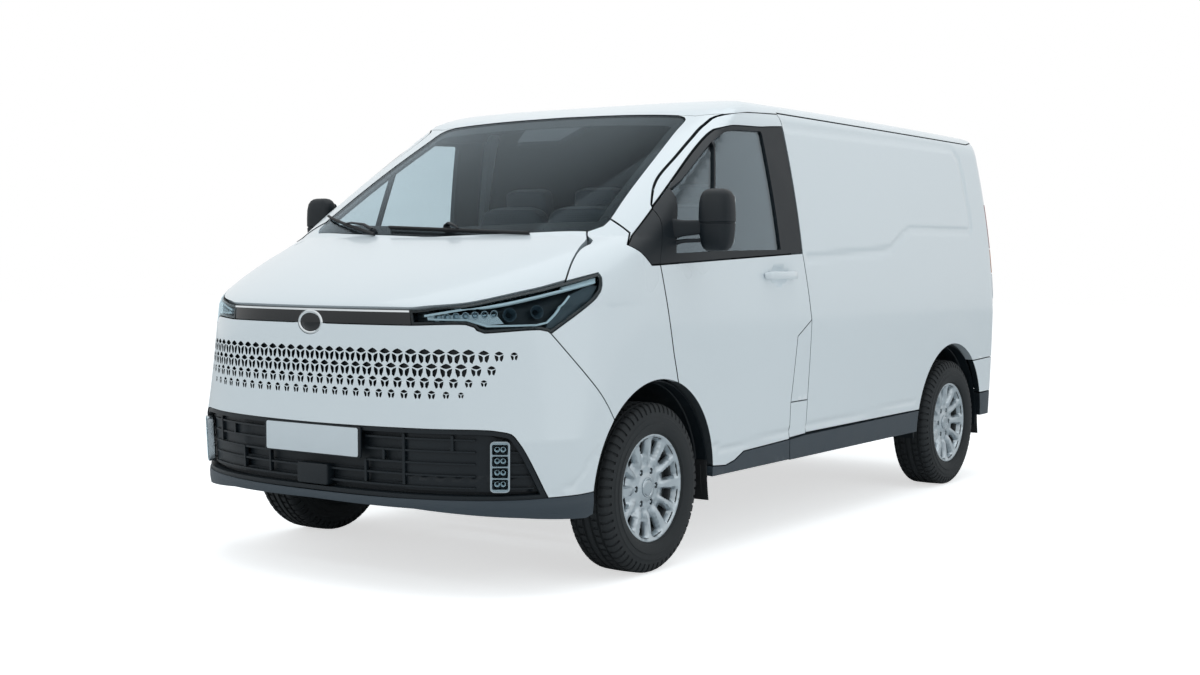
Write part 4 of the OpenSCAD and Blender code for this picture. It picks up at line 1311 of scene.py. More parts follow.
def spun(bm, profile, centre, axis=(0, 1, 0), out=(0, 0, 1), angle=math.tau, steps=64):
    """Turns a closed profile of (radius, place along the axis) round an axis."""
    axis, out, centre = Vector(axis), Vector(out), Vector(centre)
    verts = [bm.verts.new(centre + out * r + axis * h) for r, h in profile]
    edges = [bm.edges.new(pair) for pair in zip(verts, verts[1:] + verts[:1])]
    full = abs(angle - math.tau) < 1e-6
    end = bmesh.ops.spin(bm, geom=verts + edges, cent=centre, axis=axis, angle=angle,
                         steps=steps, use_merge=full)["geom_last"]
    if not full:
        last = [g for g in end if isinstance(g, bmesh.types.BMEdge)]
        bmesh.ops.holes_fill(bm, edges=edges + last, sides=0)
    bmesh.ops.remove_doubles(bm, verts=bm.verts, dist=1e-3)


def slab(bm, outline, place, thick, bevel=0.0, segments=3):
    """A plate from a flat outline; place turns (u, v, height) into a point."""
    made = bmesh.ops.create_circle(bm, cap_ends=True, segments=len(outline), radius=1)["verts"]
    for v, (u, w) in zip(made, outline):
        v.co = place(u, w, 0)
    face = made[0].link_faces[0]
    new = bmesh.ops.extrude_face_region(bm, geom=[face], use_keep_orig=True)["geom"]
    top = [g for g in new if isinstance(g, bmesh.types.BMVert)]
    lift = Vector(place(0, 0, thick)) - Vector(place(0, 0, 0))
    bmesh.ops.translate(bm, verts=top, vec=lift)
    if bevel:
        rim = {e for v in made + top for e in v.link_edges}
        edges = [e for e in rim if e.calc_face_angle(0) > 0.9]
        bmesh.ops.bevel(bm, geom=edges, offset=bevel, segments=segments, profile=0.5,
                        affect="EDGES", material=-1)


def rounded_box(w, h, r, n=5):
    """A flat rectangle of half sizes w and h with round corners."""
    out = []
    for k, (cx, cy) in enumerate(((1, 1), (-1, 1), (-1, -1), (1, -1))):
        for i in range(n + 1):
            a = math.pi / 2 * (k + i / n)
            out.append((cx * (w - r) + r * math.cos(a), cy * (h - r) + r * math.sin(a)))
    return out


def on_skin(lift, u, v, sunk=0.0):
    """A point under the skin, the skin's normal there, and two directions along it."""
    p, n = surface(lift, np.array([[u, v]], float), sunk, None)
    n = Vector(n[0])
    across = Vector((0, 0, 1)).cross(n).normalized()
    return Vector(p[0]), n, across, n.cross(across)


def flat_of(lift, point):
    """One point in a lift's flat."""
    return lift[0](np.array([point], float))[0]


def ribbon(lift, points, width):
    """The outline of a strip of the skin along points."""
    line = dense(lift[0](np.array(points, float)), 12)
    along = np.gradient(line, axis=0)
    along /= np.linalg.norm(along, axis=1, keepdims=True)
    out = np.stack([-along[:, 1], along[:, 0]], 1) * width / 2
    flat = np.concatenate([line + out, (line - out)[::-1]])
    return lay(lift, untangled(flat))


WHEELS = (("front_left", FRONT_AXLE, 1), ("front_right", FRONT_AXLE, -1),
          ("rear_left", REAR_AXLE, 1), ("rear_right", REAR_AXLE, -1))
TREAD_STEPS = 180


def tyre_profile():
    """Half of a tyre's section, from the bead over the sidewall to the tread's middle."""
    w, r = TYRE_W / 2, WHEEL_R
    return [(205, w - 38), (206, w - 26), (216, w - 19), (222, w - 17), (225, w - 11),
            (236, w - 5), (252, w - 1), (262, w), (264, w - 2.5), (286, w - 2), (289, w - 4.5),
            (304, w - 7), (318, w - 11), (331, w - 18), (338, w - 26), (r - 2.2, w - 34),
            (r - 1.4, 60), (r - 9, 58), (r - 9, 49), (r - 1, 47), (r - 0.4, 24),
            (r - 8.5, 22), (r - 8.5, 12), (r - 0.2, 10)]


def make_tyre(name, x, side):
    """A tyre with its grooves, shoulder blocks and sipes."""
    bm = bmesh.new()
    half = tyre_profile()
    profile = half + [(r, -h) for r, h in half[::-1]]
    spun(bm, profile, (x, WHEEL_Y, WHEEL_R), steps=TREAD_STEPS)
    sipes = []
    for f in bm.faces:
        c = f.calc_center_median()
        r = math.hypot(c.x - x, c.z - WHEEL_R)
        turn = round(math.atan2(c.z - WHEEL_R, c.x - x) / math.tau * TREAD_STEPS - 0.5)
        off = abs(c.y - WHEEL_Y)
        shoulder = r > 308 and off > 62 and turn % 3 == 0
        tread = 26 < off < 46 and r > WHEEL_R - 3 and turn % 3 == 1
        if shoulder or tread:
            sipes.append(f)
    bmesh.ops.inset_region(bm, faces=sipes, use_boundary=True, use_even_offset=True,
                           thickness=1.2, depth=-5.5)
    piece(f"{name}_tyre_rubber", bm, "tyre_rubber", name, (f"{name}_tyre",), "tyre", side,
          sharp=0.5)


def wheel_height(u, v):
    """How far the wheel's face stands out from the tyre's middle."""
    r = np.hypot(u, v)
    base = np.interp(r, [0, 46, 58, 92, 112, 150, 190, 203, 209, 219],
                     [66, 66, 60, 60, 70, 76, 80, 83, 90, 88])
    a = (np.degrees(np.arctan2(v, u)) + 360) % 60
    off = np.abs(np.abs(a - 30) - 14)
    channel = np.clip(1 - off / 10.5, 0, 1)
    channel = np.clip(channel * 2.4, 0, 1)
    channel = channel * channel * (3 - 2 * channel)
    return base - 30 * channel * share(r, 84, 145) * share(r, 204, 192)


def window(angle):
    """One opening in the wheel's face."""
    out = []
    for a0, a1, r in ((-7.9, 7.9, 193), (7.2, -7.2, 138)):
        for k in range(5):
            a = math.radians(angle + mix(a0, a1, k / 4))
            out.append((r * math.cos(a), r * math.sin(a)))
    return np.array(out)


def circle(x, y, r, n):
    """A flat circle of n points."""
    a = np.arange(n) / n * math.tau
    return np.stack([x + r * np.cos(a), y + r * np.sin(a)], 1)


# The wheel bolts and the radius of their ring
BOLTS, BOLT_RING = 6, 72


def make_wheel(name, x, side):
    """A wheel: the trim with its windows, the barrel behind it, the cap and bolts."""
    bm = bmesh.new()
    loops = [circle(0, 0, 219, 96)]
    for k in range(BOLTS):
        a = math.tau * k / BOLTS
        loops.append(circle(BOLT_RING * math.cos(a), BOLT_RING * math.sin(a), 13, 16))
        loops += [window(60 * k + 16), window(60 * k + 44)]
    fill_cells(bm, loops, 7.5)
    for v in bm.verts:
        u, w = v.co.x, v.co.y
        v.co = (x + u, WHEEL_Y + float(wheel_height(u, w)), WHEEL_R + w)
    face = bm.faces[:]
    new = bmesh.ops.extrude_face_region(bm, geom=face, use_keep_orig=True)["geom"]
    bmesh.ops.translate(bm, verts=[g for g in new if isinstance(g, bmesh.types.BMVert)],
                        vec=(0, -7, 0))
    piece(f"{name}_wheel_trim", bm, "silver_paint", name, (f"{name}_wheel",), "wheel_alloy",
          side, sharp=0.7)
    bm = bmesh.new()
    spun(bm, [(202, 82), (203, 60), (186, 52), (178, 30), (176, -70), (203, -84), (206, -84),
              (206, -80), (182, -66), (184, 26), (194, 46), (209, 58), (209, 82)],
         (x, WHEEL_Y, WHEEL_R), steps=72)
    spun(bm, [(32, -30), (32, 40), (70, 44), (84, 40), (100, 40), (184, 30), (184, 26),
              (100, 32), (84, 34), (40, 34), (40, -30)],
         (x, WHEEL_Y, WHEEL_R), steps=48)
    piece(f"{name}_wheel_barrel", bm, "chassis_paint", name, side=side, sharp=0.5)
    bm = bmesh.new()
    spun(bm, [(0.01, 72), (26, 72), (30, 71), (32, 68.5), (34, 71), (37, 71.5), (40, 69),
              (41, 60), (0.01, 60)], (x, WHEEL_Y, WHEEL_R), steps=40)
    for k in range(BOLTS):
        a = math.tau * k / BOLTS
        c = Vector((x + BOLT_RING * math.cos(a), WHEEL_Y, WHEEL_R + BOLT_RING * math.sin(a)))
        spun(bm, [(0.01, 56), (5.5, 56), (8.5, 53), (8.5, 38), (0.01, 38)], c, steps=6)
    piece(f"{name}_wheel_cap", bm, "lamp_reflector", name, side=side, sharp=0.5)


def make_wheels():
    """All four wheels and tyres."""
    for name, x, side in WHEELS:
        make_tyre(name, x, side)
        make_wheel(name, x, side)


# The arch liners: their outer edge, their inner wall, the room for the steered tyre
# inboard of it and the room round the knuckle
LINER_OUT, LINER_WALL, STEER_ROOM, KNUCKLE_ROOM = 952, 6, 76, 200

# How far a mud flap's foot bends back
FLAP_BOW = 16


def bend(x, r, degrees):
    """Points in X and Z on a circle round a wheel's middle, at these angles."""
    return [(x + r * math.cos(math.radians(a)), WHEEL_R + r * math.sin(math.radians(a)))
            for a in degrees]


def make_arches():
    """The liner and the mud flap of each wheel arch."""
    inner = abs(edge("front_left_tyre", 0, 1)) - 130
    r = ARCH_R
    for tag, x, side in (("front_left", FRONT_AXLE, 1), ("front_right", FRONT_AXLE, -1),
                         ("rear_left", REAR_ARCH, 1), ("rear_right", REAR_ARCH, -1)):
        front = tag.startswith("front")
        deep = inner - STEER_ROOM if front else inner
        bm = bmesh.new()
        spun(bm, [(r - 3, LINER_OUT), (r - 9, LINER_OUT), (r - 9, 905), (r - 13, 900),
                  (r - 13, 800), (r - 9, 795), (r - 9, deep), (r - 3, deep)],
             (x, 0, WHEEL_R), out=(math.cos(math.radians(-6)), 0, math.sin(math.radians(-6))),
             axis=(0, -1, 0), angle=math.radians(192), steps=48)
        if front:
            # Open round the knuckle and the arms
            wall = bend(x, r - 6, range(0, 181, 5)) + bend(x, KNUCKLE_ROOM, range(180, -1, -10))
            wall_y = deep
        else:
            wall = bend(x, r - 6, range(-5, 186, 5))
            wall_y = deep - LINER_WALL
        slab(bm, wall, lambda u, v, h: (u, wall_y + h, v), LINER_WALL, 2)
        nodes = ("arch_liners",) if tag == "front_left" else ()
        piece(f"{tag}_arch_liner", bm, "moulded_abs", "body", nodes,
              "dark_plastic" if nodes else None, side, sharp=0.5)
        bm = bmesh.new()
        flap = x - r + (14 if front else -8)
        low, high = (238, 410) if front else (243, 420)
        parts = [k / 8 for k in range(9)]
        loft(bm, [ring((flap - FLAP_BOW * t ** 2, 857, mix(high, low, t)), (1, 0, 0), (0, 1, 0),
                       4, 98, 8, 40) for t in parts])
        for y in (790, 835, 880, 925):
            swept(bm, [(flap + 2 - FLAP_BOW * t ** 2, y, mix(high - 20, low + 14, t))
                       for t in parts], [(4, 4)], up=(0, 1, 0), n=8)
        piece(f"{tag}_mud_flap", bm, "epdm_rubber", "body", side=side, sharp=0.5)


def make_headlamps():
    """The headlamps: housing, surround, lenses, light guides, cups and domes."""
    lamp = join(settle(LAMP_TOP[::-1], True), settle(LAMP_OUTER[::-1], True),
                settle(LAMP_LOW[::-1], True))
    wrap = NOSE_WRAP
    both("headlamp_housing", lamp, wrap, ["moulded_abs"], 4, BODY, (("headlamps",), ()),
         "lamp_lens", gap=4, sunk=44)
    both("headlamp_surround", lamp, wrap, ["gloss_acrylic"], 40, BODY, gap=2.5, sunk=4,
         holes=[shrunk(lamp, wrap, 11)])
    grey = settle(points_3d([(468, 896, 1130), (566, 920, 1164), (606, 926, 1160),
                             (560, 938, 1112), (385, 884, 1002), (364, 868, 1010)]))
    both("headlamp_side_block", grey, wrap, ["smoked_acrylic"], 14, BODY, gap=0, sunk=20)
    turn = settle(points_3d([(452, 862, 1160), (608, 918, 1192), (600, 922, 1178),
                             (470, 884, 1150)]))
    both("headlamp_turn_lens", turn, wrap, ["opal_acrylic"], 8, BODY, gap=0, sunk=14)
    high = [(NOSE - 68, 520, 1052), (NOSE - 260, 767, 1106), (NOSE - 420, 866, 1144),
            (NOSE - 596, 928, 1180)]
    low = [(NOSE - 474, 896, 1130), (NOSE - 404, 880, 1056), (NOSE - 374, 866, 1028),
           (NOSE - 334, 846, 1019), (NOSE - 192, 722, 1016), (NOSE - 148, 662, 1038),
           (NOSE - 78, 530, 1040)]
    both("headlamp_guide_high", ribbon(wrap, high, 8), wrap, ["opal_acrylic"], 10, BODY,
         gap=0, sunk=12)
    both("headlamp_guide_low", ribbon(wrap, low, 7), wrap, ["opal_acrylic"], 10, BODY,
         gap=0, sunk=15)
    shelf = settle(points_3d([(72, 524, 1040), (146, 664, 1038), (190, 722, 1020),
                              (236, 770, 1026), (220, 745, 1060), (74, 524, 1052)]))
    both("headlamp_reflector", shelf, wrap, ["lamp_reflector"], 5, BODY, gap=0, sunk=32)
    for tag, side in (("left", 1), ("right", -1)):
        cups, modules, domes = bmesh.new(), bmesh.new(), bmesh.new()
        start, end = (flat_of(wrap, q) for q in ((2241, 565, 1046), (2119, 742, 1062)))
        places = [(*mix(start, end, k / 6), 12, 16) for k in range(7)]
        places += [(*flat_of(wrap, q), 25, 22) for q in ((2083, 790, 1058), (1990, 848, 1068))]
        for u, v, r, deep in places:
            p, n, a, b = on_skin(wrap, u, v, 18)
            spun(cups if r < 20 else modules,
                 [(r, 0), (r + 1.5, 0), (r * 0.5, -deep), (r * 0.42, -deep)], p, n, a, steps=24)
            spun(domes, [(0.01, -deep * 0.35), (r * 0.3, -deep * 0.42), (r * 0.46, -deep * 0.62),
                         (r * 0.44, -deep), (0.01, -deep)], p, n, a, steps=20)
        piece(f"{tag}_headlamp_cups", cups, "lamp_reflector", "body", side=side)
        piece(f"{tag}_headlamp_modules", modules, "smoked_acrylic", "body", side=side)
        piece(f"{tag}_headlamp_domes", domes, "polycarbonate_lens", "body", side=side)
    both("headlamp_lens", lamp, wrap, ["polycarbonate_lens"], 3, BODY, gap=2, sunk=1)


def make_fog_lamps():
    """The fog lamps, both blank plates and the radar box."""
    wrap = NOSE_WRAP
    u0 = flat_of(wrap, (2105, 750, 500))[0]
    frame_out = [(u0 + u, 499 + v) for u, v in rounded_box(31, 95, 14)]
    cells = []
    for k in range(4):
        v0 = 499 + (k - 1.5) * 43
        cells.append(lay(wrap, [(u0 + u, v0 + v) for u, v in rounded_box(25, 19, 5)]))
    edge_line = lay(wrap, frame_out)
    both("fog_lamp_frame", edge_line, wrap, ["lamp_reflector"], 24, BODY, (("fog_lamps",), ()),
         "lamp_lens", gap=0, sunk=-6, holes=cells, step=40)
    both("fog_lamp_back", edge_line, wrap, ["moulded_abs"], 3, BODY, gap=6, sunk=14)
    for tag, side in (("left", 1), ("right", -1)):
        bm = bmesh.new()
        for k in range(4):
            p, n, a, b = on_skin(wrap, u0, 499 + (k - 1.5) * 43, 2)
            for off in (-11, 11):
                c = p + a * off
                spun(bm, [(9, 0), (10, 0), (4, -11), (3, -11)], c, n, a, steps=20)
        piece(f"{tag}_fog_lamp_cups", bm, "chromed_plastic", "body", side=side)
    both("fog_lamp_lens", edge_line, wrap, ["polycarbonate_lens"], 3, BODY, gap=4, sunk=-8)
    bm = bmesh.new()
    slab(bm, rounded_box(258, 60, 10), lambda u, v, h: (NOSE - 14 + h, u, 569 + v), 9, 2)
    piece("front_plate_holder", bm, "moulded_abs", "body")
    bm = bmesh.new()
    slab(bm, rounded_box(246, 55, 8), lambda u, v, h: (NOSE - 5 + h, u, 569 + v), 2.6, 1, 2)
    piece("front_plate", bm, "blank_plate", "body", sharp=0.9)
    bm = bmesh.new()
    slab(bm, rounded_box(81, 40, 8), lambda u, v, h: (NOSE - 62 + h, u, 433 + v), 56, 5)
    piece("radar_box", bm, "moulded_abs", "body")
    bm = bmesh.new()
    slab(bm, rounded_box(258, 58, 6), lambda u, v, h: (REAR + 1 - h, 420 + u, 800 + v), 5, 1)
    piece("rear_plate", bm, "blank_plate", "left_back_door")


def make_badge():
    """A bare oval rim in the middle of the light bar."""
    bm = bmesh.new()
    loops = [ring((NOSE - 14 + d, 0, 1019), (0, 1, 0), (0, 0, 1), w, h, 2, 64)
             for d, w, h in ((0, 67, 50), (9, 66, 49), (13, 61, 44), (13, 57, 40), (10, 53, 36),
                             (2, 51, 34), (0, 51, 34))]
    loft(bm, loops, closed=True)
    piece("nose_oval_rim", bm, "chromed_plastic", "body", sharp=0.5)
    bm = bmesh.new()
    loft(bm, [ring((NOSE - 24 + d, 0, 1019), (0, 1, 0), (0, 0, 1), w, h, 2, 64)
              for d, w, h in ((0, 52, 35), (12, 52, 35), (15, 44, 29), (16.5, 22, 15))])
    piece("nose_oval_field", bm, "gloss_acrylic", "body", sharp=0.5)


def make_mirrors():
    """The door mirrors: housing, two arms and two glasses."""
    x0, z0 = (edge("left_mirror", 0, 0) + 47), edge("left_mirror", 1, 2) - 127
    y0 = edge("left_mirror", 1, 1) - 77
    for tag, side in (("left", 1), ("right", -1)):
        bm = bmesh.new()
        rings = []
        for z, rx, ry in ((-126, 12, 30), (-122, 24, 46), (-112, 34, 58), (-90, 41, 67),
                          (-50, 44, 72), (-16, 45, 74), (-13, 42, 71), (-10, 42, 71),
                          (-7, 46, 75), (30, 46, 75), (70, 45, 73), (98, 41, 67),
                          (114, 33, 57), (123, 22, 44), (126.5, 10, 26)):
            rings.append(ring((x0, y0, z0 + z), (1, 0, 0), (0, 1, 0), rx, ry, 3.4, 40))
        loft(bm, rings)
        swept(bm, [(x0 + 82, y0 - 168, z0 - 36), (x0 + 66, y0 - 128, z0 - 34),
                   (x0 + 30, y0 - 84, z0 - 30), (x0 + 8, y0 - 52, z0 - 28)],
              [(27, 46), (24, 34), (22, 30), (20, 28)], power=4, n=28)
        swept(bm, [(x0 + 84, y0 - 164, z0 - 96), (x0 + 60, y0 - 118, z0 - 84),
                   (x0 + 14, y0 - 56, z0 - 82)], [(17, 12), (14, 8), (13, 8)], power=3, n=20)
        piece(f"{tag}_mirror_housing", bm, "moulded_abs", f"{tag}_door", (f"{tag}_mirror",),
              "dark_plastic", side)
        for name, z, w, h in (("large", 36, 58, 66), ("small", -66, 54, 34)):
            bm = bmesh.new()
            slab(bm, rounded_box(w, h, 14),
                 lambda u, v, t, z=z: (x0 - 43.5 - t, y0 + u, z0 + z + v), 3, 1, 2)
            piece(f"{tag}_mirror_glass_{name}", bm, "silvered_glass", f"{tag}_door", side=side)


def handle(name, lift, u, v, length, body, side, upright=False):
    """A grip that stands off the skin on two feet."""
    bm = bmesh.new()
    p, n, a, b = on_skin(lift, u, v, 4)
    along = b if upright else a
    rise = [(-0.5, 6, 12), (-0.47, 22, 17), (-0.4, 34, 19), (-0.2, 40, 17), (0, 41, 16),
            (0.2, 40, 17), (0.4, 34, 19), (0.47, 22, 17), (0.5, 6, 12)]
    points = [p + along * (t * length) + n * h for t, h, _ in rise]
    swept(bm, points, [(w if upright else 8, 8 if upright else w) for _, _, w in rise],
          up=b if not upright else n, power=2.6, n=20)
    for t in (-0.43, 0.43):
        c = p + along * (t * length)
        swept(bm, [c - n * 4, c + n * 22], [(16, 12), (12, 9)], up=along, power=3)
    piece(name, bm, "body_enamel", body, side=side)


def make_rail():
    """The rail that the sliding door's rear arm runs in."""
    path = [(x, 900, 1118) for x in (-1040, -1500, -2040)]
    for name, width, finishes, thick, sunk in (
            ("sliding_door_rail", 30, ["moulded_abs"], 12, 1),
            ("sliding_door_rail_slot", 10, ["chassis_paint"], 8, -1)):
        panel(name, ribbon(SIDE, path, width), SIDE, finishes, thick, "body", gap=0,
              sunk=sunk, side=-1)


def make_handles():
    """The handles of the front, sliding and rear doors, and the rail."""
    for tag, side in (("left", 1), ("right", -1)):
        handle(f"{tag}_door_handle", SIDE, NOSE - 1938, 1181, 262, f"{tag}_door", side)
    make_rail()
    handle("sliding_door_handle", SIDE, 30, 1070, 236, "body", -1)
    handle("rear_door_handle", BEHIND, 70, 1010, 190, "left_back_door", 1, True)


def make_wipers():
    """Both wipers, laid on the windscreen."""
    for tag, inner, outer, pivot in (
            ("left", (-277, 1387), (509, 1358), (44, 1390)),
            ("right", (-799, 1443), (-322, 1357), (-360, 1376))):
        line = dense([inner, outer], 40)
        p, n = surface(FRONT, line, 3, None)
        points = [Vector(q) + Vector(m) * 13 for q, m in zip(p, n)]
        bm = bmesh.new()
        swept(bm, points, [(6, 5)], up=n[0], n=12)
        swept(bm, [q - Vector(m) * 9 for q, m in zip(points, n)], [(2, 5)], up=n[0], n=8)
        piece(f"{tag}_wiper_blade", bm, "epdm_rubber", "body")
        bm = bmesh.new()
        start, _ = surface(FRONT, np.array([pivot], float), 8, None)
        middle = points[len(points) // 2]
        first = Vector(start[0]) + Vector((8, 0, 14))
        swept(bm, [first, mix(first, middle, 0.3) + Vector((8, 0, 16)),
                   mix(first, middle, 0.8) + Vector((6, 0, 12)), middle + Vector((3, 0, 5))],
              [(13, 9), (10, 6), (7, 5), (6, 4)], n=16)
        spun(bm, [(0.01, 22), (12, 20), (16, 12), (16, -14), (0.01, -14)], Vector(start[0]),
             (0.5, 0, 0.866), (0, 1, 0), steps=24)
        piece(f"{tag}_wiper_arm", bm, "moulded_abs", "body")


def make_dashboard():
    """The dashboard, its screen and vents, and the steering wheel."""
    wide = edge("dashboard", 1, 1) - 6
    back, front = edge("dashboard", 0, 0), edge("dashboard", 1, 0) - 10
    bm = bmesh.new()
    outline = [(front, 830), (front, 1306), (back + 130, 1300), (back + 40, 1262),
               (back + 6, 1180), (back + 50, 1010), (back + 130, 830)]
    slab(bm, outline, lambda u, v, h: (u, h - wide, v), 2 * wide, 22, 4)
    piece("dashboard_body", bm, "dashboard_skin", "body", ("dashboard",), "dark_plastic")
    bm = bmesh.new()
    seat_y = (edge("steering_wheel", 0, 1) + edge("steering_wheel", 1, 1)) / 2
    loft(bm, [ring((back + 46 + 190 * t, seat_y, 1276 + 8 * t), (0, 1, 0), (0, 0, 1),
                   200 - 30 * t, 62 - 36 * t, 3, 40) for t in (0, 0.3, 0.7, 1)])
    piece("instrument_hood", bm, "dashboard_skin", "body")
    bm = bmesh.new()
    slab(bm, rounded_box(150, 88, 14),
         lambda u, v, h: (back + 22 - h + 0.2 * v, u - 20, 1240 + v), 16, 5)
    for y in (-760, -560, 750, 170, -220):
        slab(bm, rounded_box(66, 34, 12),
             lambda u, v, h, y=y: (back + 18 - h + 0.25 * v, y + u, 1176 + v), 10, 3)
    piece("dashboard_screen", bm, "gloss_acrylic", "body")
    tilt = Matrix.Rotation(math.radians(-62), 3, "Y")
    place = Vector((NOSE - 1330, seat_y, 1230))
    axis, up, across = tilt @ Vector((0, 0, 1)), tilt @ Vector((1, 0, 0)), Vector((0, 1, 0))
    bm = bmesh.new()
    spun(bm, [(180 + 14 * math.cos(a), 15 * math.sin(a)) for a in
              [math.tau * k / 16 for k in range(16)]], place, axis, up, steps=72)
    for turn in (0, 105, -105):
        way = up * -math.cos(math.radians(turn)) + across * math.sin(math.radians(turn))
        swept(bm, [place + way * 30 - axis * 2, place + way * 110, place + way * 178],
              [(26, 9), (18, 7), (15, 7)], up=axis, power=3, n=20)
    spun(bm, [(0.01, 12), (44, 10), (56, 2), (58, -10), (50, -24), (0.01, -26)], place, axis,
         up, steps=40)
    swept(bm, [place - axis * 20, place - axis * 190], [(34, 34), (24, 24)], up=across, n=24)
    piece("steering_wheel_rim", bm, "moulded_abs", "body", ("steering_wheel",),
          "dark_plastic")


def cushion(name, centre, size, tilt, channels=(), crown=18.0, nodes=()):
    """A crowned, stuffed cushion with sewn channels along its length; size and centre
    are of its soft box, tilted back about the Y axis."""
    bm = bmesh.new()
    bmesh.ops.create_cube(bm, size=2)
    bmesh.ops.subdivide_edges(bm, edges=bm.edges[:], cuts=22, use_grid_fill=True)
    turn = Matrix.Rotation(math.radians(tilt), 3, "Y")
    for v in bm.verts:
        q = np.array(v.co)
        k = np.abs(q)
        power = 5.5
        q = q / max(1e-9, float((k ** power).sum()) ** (1 / power)) * float(k.max())
        u, w = q[0], q[1]
        top = 1.0 if q[2] > 0 else 0.25
        puff = crown * top * (1 - u * u * 0.8) * (1 - w * w * 0.7)
        y = w * size[1] / 2
        for c in channels:
            puff -= 13 * top * math.exp(-((y - c) / 9) ** 2) * (1 - u ** 6)
        for c in (-0.72, 0.72):
            puff -= 8 * top * math.exp(-((u - c) * size[0] / 18) ** 2)
        v.co = Vector(centre) + turn @ Vector((u * size[0] / 2, y,
                                               q[2] * size[2] / 2 + math.copysign(puff, q[2])))
    bmesh.ops.smooth_vert(bm, verts=bm.verts, factor=0.5, use_axis_x=True, use_axis_y=True,
                          use_axis_z=True)
    obj = piece(name, bm, "woven_polyester", "body", nodes,
                "seat_fabric" if nodes else None, sharp=1.2)


def make_seats():
    """The driver's seat and the double passenger seat."""
    for tag, y, w in (("driver", 430, 480), ("middle", -118, 424), ("outer", -548, 424)):
        channels = (-w * 0.28, w * 0.28)
        cushion(f"{tag}_seat_cushion", (520, y, 876), (500, w - 8, 112), 4, channels,
                nodes=("seats",) if tag == "driver" else ())
        cushion(f"{tag}_seat_back", (292, y, 1212), (600, w - 8, 104), -76, channels)
        cushion(f"{tag}_head_restraint", (216, y, 1526), (150, 250, 92), -78, (), 10)
        bm = bmesh.new()
        slab(bm, rounded_box(220, w / 2 - 40, 30),
             lambda u, v, h: (520 + u, y + v, FLOOR_Z + 1 + h), 262, 12)
        for dy in (-60, 60):
            swept(bm, [(232, y + dy, 1440), (216, y + dy, 1540)], [(6, 6)], up=(0, 1, 0), n=12)
        piece(f"{tag}_seat_base", bm, "moulded_abs", "body")


# The bulkhead's near-black felt is partly painted shade for the dark cab behind the glass
CARRIED = {
    "floor_pan": "galvanised_steel", "bulkhead": "needle_felt_painted_shade",
    "front_subframe": "chassis_paint", "drive_motor": "cast_aluminium",
    "battery_pack": "galvanised_steel", "rear_axle": "chassis_paint",
    "left_knuckle": "cast_aluminium", "right_knuckle": "cast_aluminium",
}


class VanSettings(bpy.types.PropertyGroup):
    """Sizes, colours and lights that a user may change."""
    paint: bpy.props.StringProperty(
        name="Paint", description="Body colour as an sRGB hex value", default="#dfe7eb")
    trim: bpy.props.StringProperty(
        name="Trim", description="Colour of the skirts and the lip", default="#2f3b44")
    dark: bpy.props.StringProperty(
        name="Dark parts", description="Colour of the grille and the mirrors",
        default="#0f181e")
    glass: bpy.props.StringProperty(
        name="Windscreen", description="Tint of the windscreen", default="#f1f6f8")
    side_glass: bpy.props.StringProperty(
        name="Side glass", description="Tint of the door windows", default="#e2eaed")
    wall: bpy.props.FloatProperty(
        name="Wall", description="Thickness of the body sides and doors", default=0.06,
        unit="LENGTH")
    step: bpy.props.FloatProperty(
        name="Mesh step", description="Size of the mesh cells", default=0.02, unit="LENGTH")
    petal_pitch: bpy.props.FloatProperty(
        name="Petal pitch", description="Spacing of the perforations in the nose",
        default=0.05, unit="LENGTH")
    slats: bpy.props.IntProperty(
        name="Slats", description="Number of bars in the lower grille", default=5, min=2)
    ambient: bpy.props.FloatProperty(
        name="Ambient", description="Strength of the surrounding light", default=0.62,
        subtype="FACTOR")
    floor_glow: bpy.props.FloatProperty(
        name="Floor glow", description="How far the floor is lifted to white for the camera",
        default=0.62, subtype="FACTOR")
    top_light: bpy.props.FloatProperty(
        name="Top light", description="Power of the lamp above", default=150.0, unit="POWER")
    front_light: bpy.props.FloatProperty(
        name="Front light", description="Power of the lamp in front", default=45.0,
        unit="POWER")
    side_light: bpy.props.FloatProperty(
        name="Side light", description="Power of the lamp at the side", default=45.0,
        unit="POWER")
    lens: bpy.props.FloatProperty(
        name="Lens", description="Focal length of the camera", default=48.04, unit="CAMERA")


def carry_nodes():
    """Gives the CAD nodes that show as they are their finishes."""
    for node, name in CARRIED.items():
        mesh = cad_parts[node].data
        mesh.materials.clear()
        mesh.materials.append(MATERIALS[name])


# ---- Operators, panel and run ------------------------------------------


class VAN_OT_finishes(bpy.types.Operator):
    """Makes every material"""
    bl_idname = "van.finishes"
    bl_label = "Finishes"

    def execute(self, context):
        make_finishes(context.scene.van_settings)
        return {"FINISHED"}


class VAN_OT_body_sides(bpy.types.Operator):
    """Builds the sides and the roof"""
    bl_idname = "van.body_sides"
    bl_label = "Body sides and roof"

    def execute(self, context):
        make_body_sides(context.scene.van_settings)
        return {"FINISHED"}


class VAN_OT_nose(bpy.types.Operator):
    """Builds the wings, fascia, bonnet and pillars"""
    bl_idname = "van.nose"
    bl_label = "Nose"

    def execute(self, context):
        make_nose(context.scene.van_settings)
        return {"FINISHED"}


class VAN_OT_glass(bpy.types.Operator):
    """Builds the windscreen and door windows"""
    bl_idname = "van.glass"
    bl_label = "Glass"

    def execute(self, context):
        make_glass()
        return {"FINISHED"}


class VAN_OT_doors(bpy.types.Operator):
    """Builds the front doors"""
    bl_idname = "van.doors"
    bl_label = "Front doors"

    def execute(self, context):
        make_doors(context.scene.van_settings)
        return {"FINISHED"}


class VAN_OT_rear(bpy.types.Operator):
    """Builds the rear doors, lamps and bumper"""
    bl_idname = "van.rear"
    bl_label = "Rear end"

    def execute(self, context):
        make_rear(context.scene.van_settings)
        return {"FINISHED"}


